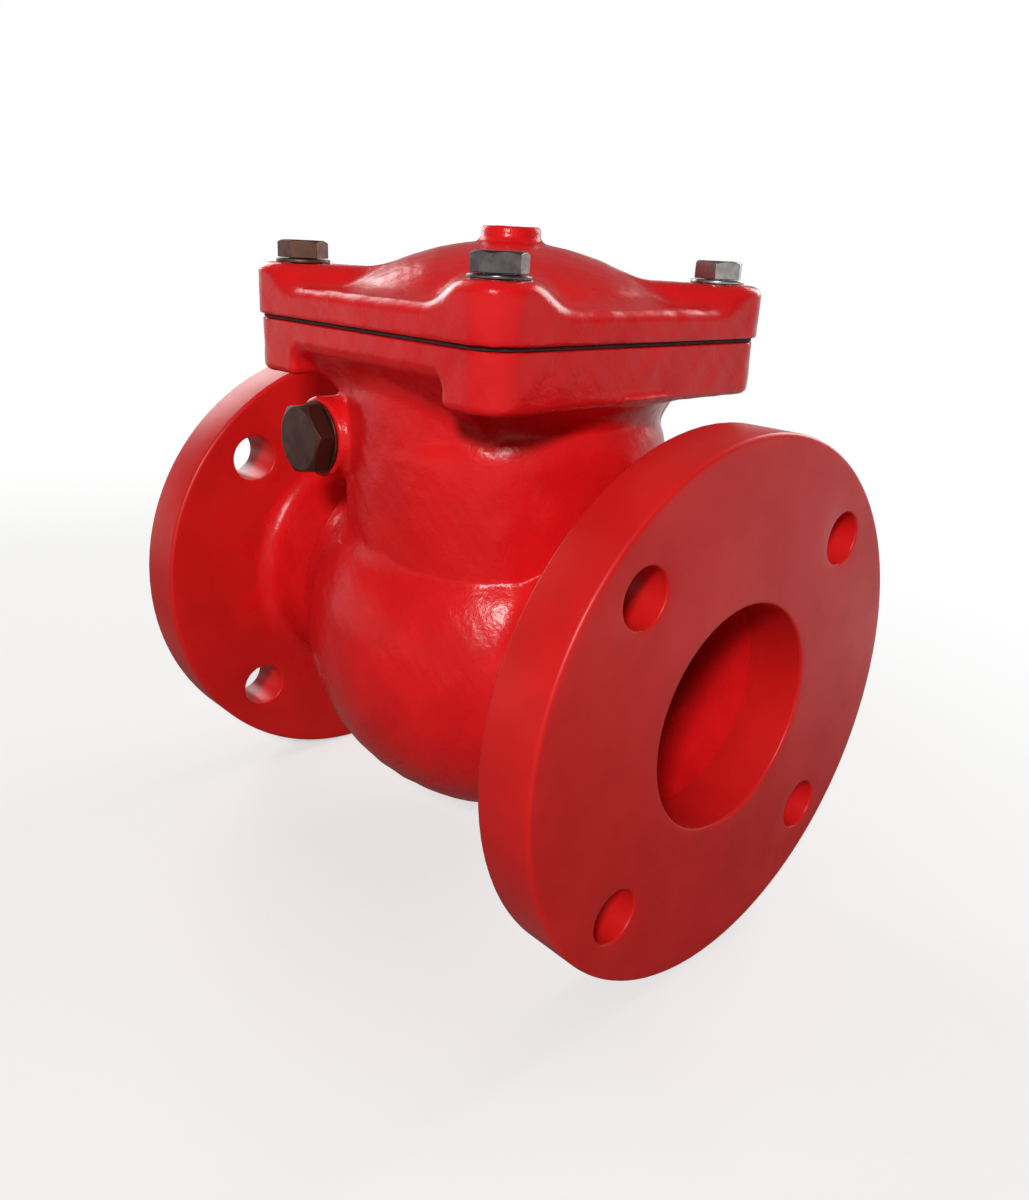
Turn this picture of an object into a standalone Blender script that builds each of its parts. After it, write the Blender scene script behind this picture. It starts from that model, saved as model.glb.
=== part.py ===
"""Flanged swing non-return valve.

A cast body with two bolting flanges carries a seat ring on its inlet side. A disc
hangs in front of the seat from an arm on a cross pin. A square cover with a shallow
dome is bolted over the chamber. Flow runs along +X, +Z is up, and the valve stands
on the rims of its two flanges. Every length is in metres.
"""
import math

import bmesh
import bpy
from mathutils import Matrix, Vector

# Pipe ends
FACE_TO_FACE = 0.2413
BORE_RADIUS = 0.0400
FLANGE_RADIUS = 0.0960
FLANGE_THICKNESS = 0.0220
FLANGE_EDGE = 0.0012
BOLT_CIRCLE_INSET = 0.0198
BOLT_HOLE_RADIUS = 0.00955
BOLT_HOLES_PER_FLANGE = 4
NECK_WALL = 0.0090
NECK_FILLET = 0.0080

# Bulb round the disc, an ellipsoid about an axis a little under the bore's
BULB_RADIUS = 0.0725
BULB_HALF_LENGTH = 0.0830
BULB_CENTRE_X = -0.0020
BULB_DROP = 0.0050
BULB_WALL = 0.0080

# Chamber that rises from the bulb to the cover
CHAMBER_INSET = 0.0085
CHAMBER_WALL = 0.0080
SHOULDER_STEP = 0.0003
SHOULDER_SHIFT = 0.0043
SHOULDER_BELOW_JOINT = 0.0380
SHOULDER_ROOF_HEIGHT = 0.0110
SHOULDER_ROOF_RUN = 0.0046

# Square flange under the cover
JOINT_ABOVE_HINGE = 0.0420
BODY_PLATE_HALF_WIDTH = 0.0690
BODY_PLATE_THICKNESS = 0.0190
BODY_PLATE_DRAFT = 0.0006
PLATE_CORNER_RADIUS = 0.0125
FLARE_INSET = 0.0015
FLARE_DEPTH = 0.0070
FLARE_FOOT_STEP = 0.0010
FORM_OVERLAP = 0.00175
GUSSET_DEPTH = 0.0190
RECESS_CENTRE_X = 0.0025
RECESS_INSET = 0.0260
RECESS_TOP_THICKNESS = 0.0085
RECESS_SLOPE = 0.95
RECESS_ROUNDING = 0.0035

# Cover
GASKET_THICKNESS = 0.0010
COVER_OVERHANG = 0.0010
COVER_EDGE_THICKNESS = 0.0090
COVER_EDGE_ROUNDING = 0.0025
DOME_ABOVE_JOINT = 0.0313
DOME_RISE = 0.0221
DOME_FOOT_INSET = 0.0050
DOME_WALL = 0.0080
TOP_BOSS_RADIUS = 0.0118
TOP_BOSS_HEIGHT = 0.0050
TOP_BOSS_DRAFT = 0.0009
CORNER_BOSS_RADIUS = 0.0150
CORNER_BOSS_HEIGHT = 0.0181

# Cover bolts, metric ten, each on a plain washer
COVER_BOLT_INSET = 0.0145
BOLT_RADIUS = 0.0050
BOLT_HEAD_FLATS = 0.0160
BOLT_HEAD_HEIGHT = 0.0063
BOLT_ENGAGEMENT = 0.0140
BOLT_POINT = 0.0010
BOLT_HOLE_SPARE_DEPTH = 0.0020
COVER_HOLE_CLEARANCE = 0.0006
WASHER_RADIUS = 0.0099
WASHER_THICKNESS = 0.0013

# Turned-off corners of every hexagon
CHAMFER_CROWN = 0.95
CHAMFER_ANGLE = math.radians(30)

# Seat and disc
SEAT_FACE_X = -0.0450
SEAT_RING_WALL = 0.0080
SEAT_RING_LENGTH = 0.0127
SEAT_LIP = 0.0010
SEAT_CONTACT_STEP = 0.0012
SEAT_CONTACT_WIDTH = 0.0050
SEAT_HOUSING_WALL = 0.0080
SEAT_HOUSING_TAPER = 0.0070
DISC_POCKET_CLEARANCE = 0.0040
DISC_OVERLAP = 0.0070
DISC_THICKNESS = 0.0060
DISC_RING_THICKNESS = 0.0033
DISC_RING_PROUD = 0.0007
DISC_EDGE = 0.0012
DISC_HUB_RADIUS = 0.0120
DISC_HUB_FOOT_RADIUS = 0.0216
DISC_HUB_LENGTH = 0.0080
STUD_RADIUS = 0.0070
STUD_CHAMFER = 0.0009
STUD_SPARE_LENGTH = 0.0016

# Hinge, with its axis along Y
HINGE_INSET = 0.0155
HINGE_ABOVE_DISC = 0.0270
PIN_RADIUS = 0.0060
PIN_CHAMFER = 0.0010
BUSH_WALL = 0.0026
BUSH_LENGTH = 0.0120
HINGE_BOSS_RADIUS = 0.0150
BLIND_END_WALL = 0.0080
ARM_BARREL_RADIUS = 0.0092
ARM_BARREL_LENGTH = 0.0400
ARM_EYE_RADIUS = 0.0135
ARM_EYE_LENGTH = 0.0120
ARM_WEB_WIDTH = 0.0170
ARM_WEB_DEPTH = 0.0060
ARM_RIB_WIDTH = 0.0060
ARM_RIB_DEPTH = 0.0140
ARM_FOOT_DEPTH_SHARE = 0.75
ARM_BEND_DROP = 0.0220

# Disc nut and split pin
DISC_WASHER_RADIUS = 0.0125
DISC_WASHER_THICKNESS = 0.0020
NUT_FLATS = 0.0210
NUT_HEIGHT = 0.0110
NUT_SLOT_WIDTH = 0.0036
NUT_SLOT_DEPTH = 0.0042
NUT_SLOTS = 6
SPLIT_PIN_RADIUS = 0.0013
SPLIT_PIN_EYE_RADIUS = 0.0017
SPLIT_PIN_EYE_WIRE = 0.00091
SPLIT_PIN_LEG_RADIUS = 0.00104
SPLIT_PIN_LEG = 0.0056
SPLIT_PIN_SPREAD = math.radians(50)

# Hinge plug
PLUG_FLATS = 0.0245
PLUG_HEAD_HEIGHT = 0.0074
PLUG_SPIGOT_RADIUS = 0.0100
PLUG_SPIGOT_LENGTH = 0.0105
PLUG_WASHER_RADIUS = 0.0137
PLUG_WASHER_THICKNESS = 0.0010
PLUG_TURN = math.radians(-20)

# Clearances
FIT = 0.0003
RUNNING_FIT = 0.0003

# Smoothness: how many flat sides stand for a full circle
LARGE_SIDES = 48
MEDIUM_SIDES = 24
SMALL_SIDES = 16
WIRE_SIDES = 12
CURVE_STEPS = 10
FILLET_STEPS = 3
EDGE_STEPS = 2
CORE_TURN = math.pi / LARGE_SIDES
SHARP_ANGLE = math.radians(32)
MERGE_DISTANCE = 0.000002

# Worked out from the sizes above
HALF_LENGTH = FACE_TO_FACE / 2
BORE_HEIGHT = FLANGE_RADIUS * math.cos(math.pi / LARGE_SIDES)
BOLT_CIRCLE_RADIUS = FLANGE_RADIUS - BOLT_CIRCLE_INSET
NECK_RADIUS = BORE_RADIUS + NECK_WALL
CHAMBER_RADIUS = BODY_PLATE_HALF_WIDTH - CHAMBER_INSET
CHAMBER_INNER_RADIUS = CHAMBER_RADIUS - CHAMBER_WALL
SHOULDER_RADIUS = CHAMBER_RADIUS - SHOULDER_STEP
FLARE_RADIUS = BODY_PLATE_HALF_WIDTH - FLARE_INSET
FLARE_FOOT_RADIUS = CHAMBER_RADIUS - FLARE_FOOT_STEP
RECESS_HALF_LENGTH = BODY_PLATE_HALF_WIDTH - RECESS_INSET
COVER_HALF_WIDTH = BODY_PLATE_HALF_WIDTH + COVER_OVERHANG
COVER_BOLT_OFFSET = BODY_PLATE_HALF_WIDTH - COVER_BOLT_INSET
DOME_FOOT_RADIUS = BODY_PLATE_HALF_WIDTH - DOME_FOOT_INSET
DOME_OUTER_RADIUS = (DOME_FOOT_RADIUS ** 2 + DOME_RISE ** 2) / (2 * DOME_RISE)
SEAT_RING_RADIUS = BORE_RADIUS + SEAT_RING_WALL
SEAT_CONTACT_INNER = BORE_RADIUS + SEAT_CONTACT_STEP
SEAT_CONTACT_OUTER = SEAT_CONTACT_INNER + SEAT_CONTACT_WIDTH
DISC_RADIUS = BORE_RADIUS + DISC_OVERLAP
DISC_POCKET_RADIUS = DISC_RADIUS + DISC_POCKET_CLEARANCE
SEAT_HOUSING_RADIUS = SEAT_RING_RADIUS + FIT + SEAT_HOUSING_WALL
HINGE_X = HINGE_INSET - CHAMBER_INNER_RADIUS
HINGE_BOSS_REACH = CHAMBER_RADIUS
HINGE_ABOVE_BORE = DISC_RADIUS + HINGE_ABOVE_DISC
JOINT_HEIGHT = HINGE_ABOVE_BORE + JOINT_ABOVE_HINGE
SHOULDER_HEIGHT = JOINT_HEIGHT - SHOULDER_BELOW_JOINT
DOME_TOP_HEIGHT = JOINT_HEIGHT + DOME_ABOVE_JOINT
JOINT_Z = BORE_HEIGHT + JOINT_HEIGHT
GASKET_Z = JOINT_Z + FIT
COVER_Z = GASKET_Z + GASKET_THICKNESS + FIT
BOSS_Z = COVER_Z + CORNER_BOSS_HEIGHT
HINGE_Z = BORE_HEIGHT + HINGE_ABOVE_BORE
WASHER_Z = BOSS_Z + FIT
HEAD_Z = WASHER_Z + WASHER_THICKNESS + FIT
BUSH_RADIUS = PIN_RADIUS + RUNNING_FIT + BUSH_WALL
SEAT_WALL_X = SEAT_FACE_X - SEAT_LIP
SEAT_BACK_X = SEAT_FACE_X - SEAT_RING_LENGTH
DISC_FACE_X = SEAT_FACE_X + FIT
DISC_BACK_X = DISC_FACE_X + DISC_RING_PROUD + DISC_THICKNESS
DISC_HUB_X = DISC_BACK_X + DISC_HUB_LENGTH
EYE_X = DISC_HUB_X + FIT
EYE_END_X = EYE_X + ARM_EYE_LENGTH
DISC_WASHER_X = EYE_END_X + FIT
NUT_X = DISC_WASHER_X + DISC_WASHER_THICKNESS + FIT
NUT_END_X = NUT_X + NUT_HEIGHT
STUD_END_X = NUT_END_X + STUD_SPARE_LENGTH
HINGE_POINT = Vector((HINGE_X, 0.0, HINGE_Z))
DISC_CENTRE = Vector((DISC_FACE_X, 0.0, BORE_HEIGHT))


def make_collection(name):
    """Return a new collection that is linked to the scene."""
    collection = bpy.data.collections.new(name)
    bpy.context.scene.collection.children.link(collection)
    return collection


def clear_scene():
    """Remove every object that the open file holds."""
    for old in list(bpy.data.objects):
        bpy.data.objects.remove(old, do_unlink=True)


clear_scene()
PARTS = make_collection("non_return_valve")
CUTTERS = make_collection("cutters")


def paint(name, colour, roughness, metallic):
    """Make a Principled material of one colour."""
    material = bpy.data.materials.new(name)
    material.use_nodes = True
    shader = material.node_tree.nodes["Principled BSDF"]
    shader.inputs["Base Color"].default_value = (*colour, 1.0)
    shader.inputs["Roughness"].default_value = roughness
    shader.inputs["Metallic"].default_value = metallic
    return material


RED_PAINT = paint("red_epoxy_paint", (0.62, 0.022, 0.020), 0.32, 0.0)
SHEET = paint("joint_sheet", (0.09, 0.012, 0.012), 0.85, 0.0)
ZINC = paint("zinc_plated_steel", (0.62, 0.60, 0.58), 0.32, 1.0)
BROWN_STEEL = paint("browned_steel", (0.085, 0.045, 0.035), 0.50, 0.8)
GUNMETAL = paint("gunmetal", (0.62, 0.38, 0.16), 0.35, 1.0)
STAINLESS = paint("stainless_steel", (0.58, 0.58, 0.57), 0.28, 1.0)
DARK_IRON = paint("coated_cast_iron", (0.05, 0.05, 0.055), 0.55, 0.2)
COPPER = paint("copper", (0.60, 0.25, 0.14), 0.40, 1.0)


def add_tool(name, mesh):
    """Put a mesh in the cutters collection, drawn as wire and never rendered."""
    tool = bpy.data.objects.new(name, mesh)
    tool.display_type = "WIRE"
    tool.hide_render = True
    CUTTERS.objects.link(tool)
    return tool


def settle(shape):
    """Turn a shape's modifiers into its own mesh."""
    bpy.context.view_layer.update()
    graph = bpy.context.evaluated_depsgraph_get()
    mesh = bpy.data.meshes.new_from_object(shape.evaluated_get(graph))
    shape.modifiers.clear()
    shape.data = mesh
    return shape


def bring_in(shape, tools, operation):
    """Apply one Boolean operation with each tool in turn."""
    for tool in tools:
        step = shape.modifiers.new(operation.lower(), "BOOLEAN")
        step.operation = operation
        step.solver = "EXACT"
        step.object = tool
        settle(shape)
    return shape


def join(shape, tools):
    """Add solids to a shape."""
    return bring_in(shape, tools, "UNION")


def cut(shape, tools):
    """Take solids away from a shape."""
    return bring_in(shape, tools, "DIFFERENCE")


def keep_inside(shape, tools):
    """Keep what a shape shares with other solids."""
    return bring_in(shape, tools, "INTERSECT")


def finish(shape, name, material, origin=(0.0, 0.0, 0.0), parent=None):
    """Name a shape, tidy its mesh, shade it and move its origin to a point."""
    mesh = shape.data
    edit = bmesh.new()
    edit.from_mesh(mesh)
    bmesh.ops.remove_doubles(edit, verts=edit.verts, dist=MERGE_DISTANCE)
    bmesh.ops.dissolve_degenerate(edit, edges=edit.edges, dist=MERGE_DISTANCE)
    bmesh.ops.transform(edit, matrix=Matrix.Translation(-Vector(origin)), verts=edit.verts)
    edit.to_mesh(mesh)
    edit.free()
    mesh.shade_smooth()
    mesh.set_sharp_from_angle(angle=SHARP_ANGLE)
    mesh.materials.clear()
    mesh.materials.append(material)
    mesh.name = name
    shape.name = name
    shape.location = origin
    shape.display_type = "TEXTURED"
    shape.hide_render = False
    CUTTERS.objects.unlink(shape)
    PARTS.objects.link(shape)
    if parent:
        shape.parent = parent
        shape.location = Vector(origin) - parent.location
    return shape


def axis_turn(axis, sides):
    """Return the rotation that lays a Z axis along X, Y or Z with a flat side down."""
    half_side = Matrix.Rotation(math.pi / sides, 4, "Z")
    if axis == "X":
        return Matrix.Rotation(math.pi / 2, 4, "Y") @ half_side
    if axis == "Y":
        return Matrix.Rotation(-math.pi / 2, 4, "X") @ half_side
    return half_side


def cylinder(name, radius, start, length, axis="Z", sides=MEDIUM_SIDES, turn=0.0):
    """Make a cylinder that runs from a start point along +X, +Y or +Z."""
    edit = bmesh.new()
    bmesh.ops.create_cone(edit, cap_ends=True, segments=sides, radius1=radius, radius2=radius,
                          depth=length)
    lift = Matrix.Translation((0, 0, length / 2))
    place = Matrix.Translation(start) @ axis_turn(axis, sides) @ Matrix.Rotation(turn, 4, "Z") @ lift
    bmesh.ops.transform(edit, matrix=place, verts=edit.verts)
    mesh = bpy.data.meshes.new(name)
    edit.to_mesh(mesh)
    edit.free()
    return add_tool(name, mesh)


def block(name, low, high, corner=0.0, taper=0.0):
    """Make a box between two corners, with rounded upright edges and a tapered foot."""
    low = Vector(low)
    high = Vector(high)
    edit = bmesh.new()
    bmesh.ops.create_cube(edit, size=1.0)
    for vertex in edit.verts:
        vertex.co = Vector([low[i] + (vertex.co[i] + 0.5) * (high[i] - low[i]) for i in range(3)])
    if corner > 0:
        upright = [edge for edge in edit.edges
                   if abs(edge.verts[0].co.z - edge.verts[1].co.z) > (high.z - low.z) / 2]
        bmesh.ops.bevel(edit, geom=upright, offset=corner, segments=FILLET_STEPS, profile=0.5,
                        affect="EDGES")
    middle = (low + high) / 2
    half = (high - low) / 2
    for vertex in edit.verts:
        if taper and vertex.co.z < middle.z:
            vertex.co.x = middle.x + (vertex.co.x - middle.x) * (half.x - taper) / half.x
            vertex.co.y = middle.y + (vertex.co.y - middle.y) * (half.y - taper) / half.y
    mesh = bpy.data.meshes.new(name)
    edit.to_mesh(mesh)
    edit.free()
    return add_tool(name, mesh)


def turned(name, profile, axis="Z", sides=LARGE_SIDES, centre=(0.0, 0.0, 0.0), ring=False,
           turn=0.0):
    """Revolve (radius, height) points, listed from the top down the outer side."""
    points = [(radius, 0.0, height) for radius, height in profile]
    edges = [(i, i + 1) for i in range(len(points) - 1)]
    if ring:
        edges.append((len(points) - 1, 0))
    mesh = bpy.data.meshes.new(name)
    mesh.from_pydata(points, edges, [])
    shape = add_tool(name, mesh)
    screw = shape.modifiers.new("turn", "SCREW")
    screw.steps = sides
    screw.render_steps = sides
    screw.use_merge_vertices = True
    screw.merge_threshold = 0.00001
    settle(shape)
    twist = Matrix.Rotation(turn, 4, "Z")
    shape.data.transform(Matrix.Translation(centre) @ axis_turn(axis, sides) @ twist)
    return shape


def hexagon(name, flats, start, length, axis, turn=0.0):
    """Make a hexagonal prism, measured across its flats."""
    return cylinder(name, flats / math.sqrt(3), start, length, axis, 6, turn)


def arc(centre, radius, start, end, steps=FILLET_STEPS):
    """Return points on an arc between two angles in degrees."""
    angles = [math.radians(start + (end - start) * i / steps) for i in range(steps + 1)]
    return [(centre[0] + radius * math.cos(a), centre[1] + radius * math.sin(a)) for a in angles]


def bulb_solid(name, wall, limit_radius, turn=0.0, steps=CURVE_STEPS):
    """Turn the bulb or its hollow, cut off where it is narrower than the pipe's own radius."""
    radius = BULB_RADIUS - wall
    half_length = BULB_HALF_LENGTH - wall
    end = math.acos((limit_radius - 2 * BULB_DROP) / radius)
    angles = [end - 2 * end * i / steps for i in range(steps + 1)]
    curve = [(radius * math.cos(a), BULB_CENTRE_X + half_length * math.sin(a)) for a in angles]
    profile = [(0.0, curve[0][1])] + curve + [(0.0, curve[-1][1])]
    return turned(name, profile, "X", LARGE_SIDES, (0, 0, BORE_HEIGHT - BULB_DROP), turn=turn)


def flange_profile(side):
    """Return one pipe flange and its neck fillet, from its rim to its neck."""
    face = side * HALF_LENGTH
    back = side * (HALF_LENGTH - FLANGE_THICKNESS)
    edge = side * FLANGE_EDGE
    neck_end = back - side * NECK_FILLET
    fillet = arc((NECK_RADIUS + NECK_FILLET, neck_end), NECK_FILLET, side * 90, side * 180)
    return [(0.0, face), (FLANGE_RADIUS - FLANGE_EDGE, face), (FLANGE_RADIUS, face - edge),
            (FLANGE_RADIUS, back + edge), (FLANGE_RADIUS - FLANGE_EDGE, back)] + fillet


def pipe_body():
    """Turn both flanges, the necks and the housing of the seat about the bore axis."""
    outlet = flange_profile(1)
    inlet = flange_profile(-1)
    back = SEAT_BACK_X - FIT
    housing = [(NECK_RADIUS, DISC_BACK_X), (SEAT_HOUSING_RADIUS, DISC_BACK_X),
               (SEAT_HOUSING_RADIUS, back), (NECK_RADIUS, back - SEAT_HOUSING_TAPER)]
    profile = outlet + housing + inlet[::-1]
    return turned("pipe_body", profile, "X", LARGE_SIDES, (0, 0, BORE_HEIGHT))


def cover_flange():
    """Make the square flange with its flare and gussets, cut back along two sides."""
    half = BODY_PLATE_HALF_WIDTH
    base = JOINT_Z - BODY_PLATE_THICKNESS
    top = base + FORM_OVERLAP
    plate = block("cover_flange", (-half, -half, base), (half, half, JOINT_Z),
                  PLATE_CORNER_RADIUS, BODY_PLATE_DRAFT)
    profile = [(0.0, top), (FLARE_RADIUS, top), (FLARE_RADIUS, base),
               (FLARE_FOOT_RADIUS, base - FLARE_DEPTH), (0.0, base - FLARE_DEPTH)]
    flare = turned("flare", profile)
    length = RECESS_HALF_LENGTH - RECESS_ROUNDING
    reach = half - 2 * BODY_PLATE_DRAFT
    gusset = block("gusset", (RECESS_CENTRE_X - length, -reach, base - GUSSET_DEPTH),
                   (RECESS_CENTRE_X + length, reach, top))
    join(plate, [flare, gusset])
    return cut(plate, [recess(-1), recess(1)])


def recess(side):
    """Make the wedge that thins the square flange between two corner columns."""
    depth = BODY_PLATE_THICKNESS + GUSSET_DEPTH
    top = JOINT_Z - RECESS_TOP_THICKNESS + FORM_OVERLAP * RECESS_SLOPE
    inner_top = side * (BODY_PLATE_HALF_WIDTH + FORM_OVERLAP)
    inner_foot = inner_top - side * depth / RECESS_SLOPE
    outer = inner_top + side * PLATE_CORNER_RADIUS
    low_x = RECESS_CENTRE_X - RECESS_HALF_LENGTH
    high_x = RECESS_CENTRE_X + RECESS_HALF_LENGTH
    wedge = block("recess", (low_x, min(outer, inner_top), top - depth),
                  (high_x, max(outer, inner_top), top))
    edit = bmesh.new()
    edit.from_mesh(wedge.data)
    for vertex in edit.verts:
        if abs(vertex.co.y - inner_top) < FIT and vertex.co.z < top - FIT:
            vertex.co.y = inner_foot
    slanted = [edge for edge in edit.edges
               if abs(edge.verts[0].co.y - edge.verts[1].co.y) > FIT
               and abs(edge.verts[0].co.z - edge.verts[1].co.z) > FIT]
    bmesh.ops.bevel(edit, geom=slanted, offset=RECESS_ROUNDING, segments=FILLET_STEPS,
                    profile=0.5, affect="EDGES")
    edit.to_mesh(wedge.data)
    edit.free()
    return wedge


def outlet_shoulder():
    """Turn the wider foot of the chamber on its outlet side, under a steep cone."""
    edge = BORE_HEIGHT + SHOULDER_HEIGHT
    roof = edge + SHOULDER_ROOF_HEIGHT
    profile = [(0.0, roof), (SHOULDER_RADIUS - SHOULDER_ROOF_RUN, roof),
               (SHOULDER_RADIUS, edge), (SHOULDER_RADIUS, BORE_HEIGHT), (0.0, BORE_HEIGHT)]
    return turned("shoulder", profile, "Z", LARGE_SIDES, (SHOULDER_SHIFT, 0, 0))


def outlet_core():
    """Turn the outlet bore and the pocket in which the closed disc lies."""
    past = HALF_LENGTH + FLANGE_THICKNESS
    pocket_end = DISC_BACK_X + DISC_POCKET_CLEARANCE
    pocket_start = SEAT_WALL_X - DISC_POCKET_CLEARANCE
    profile = [(0.0, past), (BORE_RADIUS, past), (BORE_RADIUS, pocket_end),
               (DISC_POCKET_RADIUS, pocket_end), (DISC_POCKET_RADIUS, pocket_start),
               (0.0, pocket_start)]
    return turned("outlet_core", profile, "X", LARGE_SIDES, (0, 0, BORE_HEIGHT), turn=CORE_TURN)


def inlet_core():
    """Turn the inlet bore and the counterbore of the seat ring."""
    past = HALF_LENGTH + FLANGE_THICKNESS
    counterbore = SEAT_RING_RADIUS + FIT
    inside = SEAT_WALL_X + SEAT_RING_LENGTH / 4
    profile = [(0.0, inside), (counterbore, inside), (counterbore, SEAT_BACK_X - FIT),
               (BORE_RADIUS, SEAT_BACK_X - FIT), (BORE_RADIUS, -past), (0.0, -past)]
    return turned("inlet_core", profile, "X", LARGE_SIDES, (0, 0, BORE_HEIGHT), turn=CORE_TURN)


def chamber_core():
    """Join the hollows of the casting: bulb, chamber, shoulder, seat and both bores."""
    top = JOINT_Z + COVER_EDGE_THICKNESS
    core = bulb_solid("bulb_core", BULB_WALL, BORE_RADIUS, CORE_TURN)
    chamber = cylinder("chamber_core", CHAMBER_RADIUS - CHAMBER_WALL, (0, 0, BORE_HEIGHT),
                       top - BORE_HEIGHT, "Z", LARGE_SIDES)
    shoulder_top = BORE_HEIGHT + SHOULDER_HEIGHT - CHAMBER_WALL
    shoulder = cylinder("shoulder_core", SHOULDER_RADIUS - CHAMBER_WALL,
                        (SHOULDER_SHIFT, 0, BORE_HEIGHT), shoulder_top - BORE_HEIGHT, "Z",
                        LARGE_SIDES)
    join(core, [outlet_core(), chamber, shoulder])
    ledge = BORE_HEIGHT + SEAT_RING_RADIUS + BULB_WALL
    width = 2 * CHAMBER_RADIUS
    seat_wall = block("seat_wall", (-2 * width, -width, -width), (SEAT_WALL_X, width, ledge))
    cut(core, [seat_wall])
    return join(core, [inlet_core()])


def corners(offset):
    """Return the four bolt places of the cover, counted from the -X -Y corner."""
    return [(-offset, -offset), (offset, -offset), (offset, offset), (-offset, offset)]


def flange_bolt_holes():
    """Make one cutter for each hole in the two pipe flanges, straddling the centre lines."""
    holes = []
    for side in (-1, 1):
        start = side * (HALF_LENGTH - FLANGE_THICKNESS / 2) - FLANGE_THICKNESS
        for number in range(BOLT_HOLES_PER_FLANGE):
            angle = 2 * math.pi * (number + 0.5) / BOLT_HOLES_PER_FLANGE
            centre = (start, BOLT_CIRCLE_RADIUS * math.cos(angle),
                      BORE_HEIGHT + BOLT_CIRCLE_RADIUS * math.sin(angle))
            holes.append(cylinder("bolt_hole", BOLT_HOLE_RADIUS, centre, 2 * FLANGE_THICKNESS,
                                  "X", SMALL_SIDES))
    return holes


def hinge_bore():
    """Make the stepped bore for plug, bushes and pin, open on the -Y side only."""
    plug_depth = PLUG_SPIGOT_LENGTH + FIT
    plug = cylinder("plug_bore", PLUG_SPIGOT_RADIUS + FIT,
                    (HINGE_X, -HINGE_BOSS_REACH - plug_depth, HINGE_Z), 2 * plug_depth, "Y",
                    MEDIUM_SIDES)
    bush = cylinder("bush_bore", BUSH_RADIUS + FIT, (HINGE_X, -HINGE_BOSS_REACH, HINGE_Z),
                    2 * HINGE_BOSS_REACH - BLIND_END_WALL, "Y", MEDIUM_SIDES)
    return [plug, bush]


def cover_bolt_holes(start, depth, radius):
    """Make one cutter for each cover bolt."""
    return [cylinder("cover_hole", radius, (x, y, start), depth, "Z", SMALL_SIDES)
            for x, y in corners(COVER_BOLT_OFFSET)]


def make_body():
    """Build the cast body from its outer forms, then core and drill it."""
    body = pipe_body()
    drum = cylinder("drum", CHAMBER_RADIUS, (0, 0, BORE_HEIGHT),
                    JOINT_HEIGHT - BODY_PLATE_THICKNESS / 2, "Z", LARGE_SIDES)
    boss = cylinder("hinge_boss", HINGE_BOSS_RADIUS, (HINGE_X, -HINGE_BOSS_REACH, HINGE_Z),
                    2 * HINGE_BOSS_REACH, "Y", MEDIUM_SIDES)
    bulb = bulb_solid("bulb", 0.0, NECK_RADIUS)
    join(body, [bulb, drum, outlet_shoulder(), cover_flange(), boss])
    cut(body, [chamber_core()])
    depth = BOLT_ENGAGEMENT + BOLT_HOLE_SPARE_DEPTH
    cut(body, hinge_bore() + flange_bolt_holes()
        + cover_bolt_holes(JOINT_Z - depth, 2 * depth, BOLT_RADIUS + FIT))
    return finish(body, "body", RED_PAINT)


def dome_solid(name, radius, foot_radius, foot_z, boss=False):
    """Turn a shallow dome whose centre lies below the cover."""
    centre = BORE_HEIGHT + DOME_TOP_HEIGHT - DOME_OUTER_RADIUS
    end = math.degrees(math.acos(foot_radius / radius))
    steps = CURVE_STEPS // 2
    start = 90.0
    profile = [(0.0, centre + radius)]
    if boss:
        top = BORE_HEIGHT + DOME_TOP_HEIGHT + TOP_BOSS_HEIGHT
        narrow = TOP_BOSS_RADIUS - TOP_BOSS_DRAFT
        profile = [(0.0, top), (narrow - TOP_BOSS_DRAFT, top), (narrow, top - TOP_BOSS_DRAFT)]
        start = math.degrees(math.acos(TOP_BOSS_RADIUS / radius))
    profile += arc((0.0, centre), radius, start, end, steps)[0 if boss else 1:]
    profile += [(foot_radius, foot_z), (0.0, foot_z)]
    return turned(name, profile, "Z", LARGE_SIDES)


def valley(number):
    """Make the cutter that lowers the cover between two bolt ridges."""
    floor = COVER_Z + COVER_EDGE_THICKNESS
    start = CORNER_BOSS_RADIUS * math.sqrt(2)
    size = 2 * COVER_HALF_WIDTH
    cutter = block("valley", (0, 0, floor), (size, size, floor + size))
    edit = bmesh.new()
    edit.from_mesh(cutter.data)
    foot = [edge for edge in edit.edges if max(v.co.z for v in edge.verts) < floor + FIT
            and min(v.co.x * v.co.y for v in edge.verts) < FIT * FIT
            and max(v.co.x + v.co.y for v in edge.verts) < size + FIT]
    bmesh.ops.bevel(edit, geom=foot, offset=COVER_EDGE_ROUNDING, segments=EDGE_STEPS,
                    profile=0.5, affect="EDGES")
    place = Matrix.Rotation(math.pi / 2 * number, 4, "Z") @ Matrix.Translation((start, 0, 0))
    turn = Matrix.Rotation(-math.pi / 4, 4, "Z")
    bmesh.ops.transform(edit, matrix=place @ turn, verts=edit.verts)
    edit.to_mesh(cutter.data)
    edit.free()
    return cutter


def rounded_square(name, half, low, high):
    """Make a square plate with the corner radius of the joint."""
    return block(name, (-half, -half, low), (half, half, high), PLATE_CORNER_RADIUS)


def soften_top(plate, height):
    """Round the upper edge of a plate all the way round."""
    edit = bmesh.new()
    edit.from_mesh(plate.data)
    rim = [edge for edge in edit.edges if min(v.co.z for v in edge.verts) > height - FIT]
    bmesh.ops.bevel(edit, geom=rim, offset=COVER_EDGE_ROUNDING, segments=EDGE_STEPS,
                    profile=0.5, affect="EDGES")
    edit.to_mesh(plate.data)
    edit.free()


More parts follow.
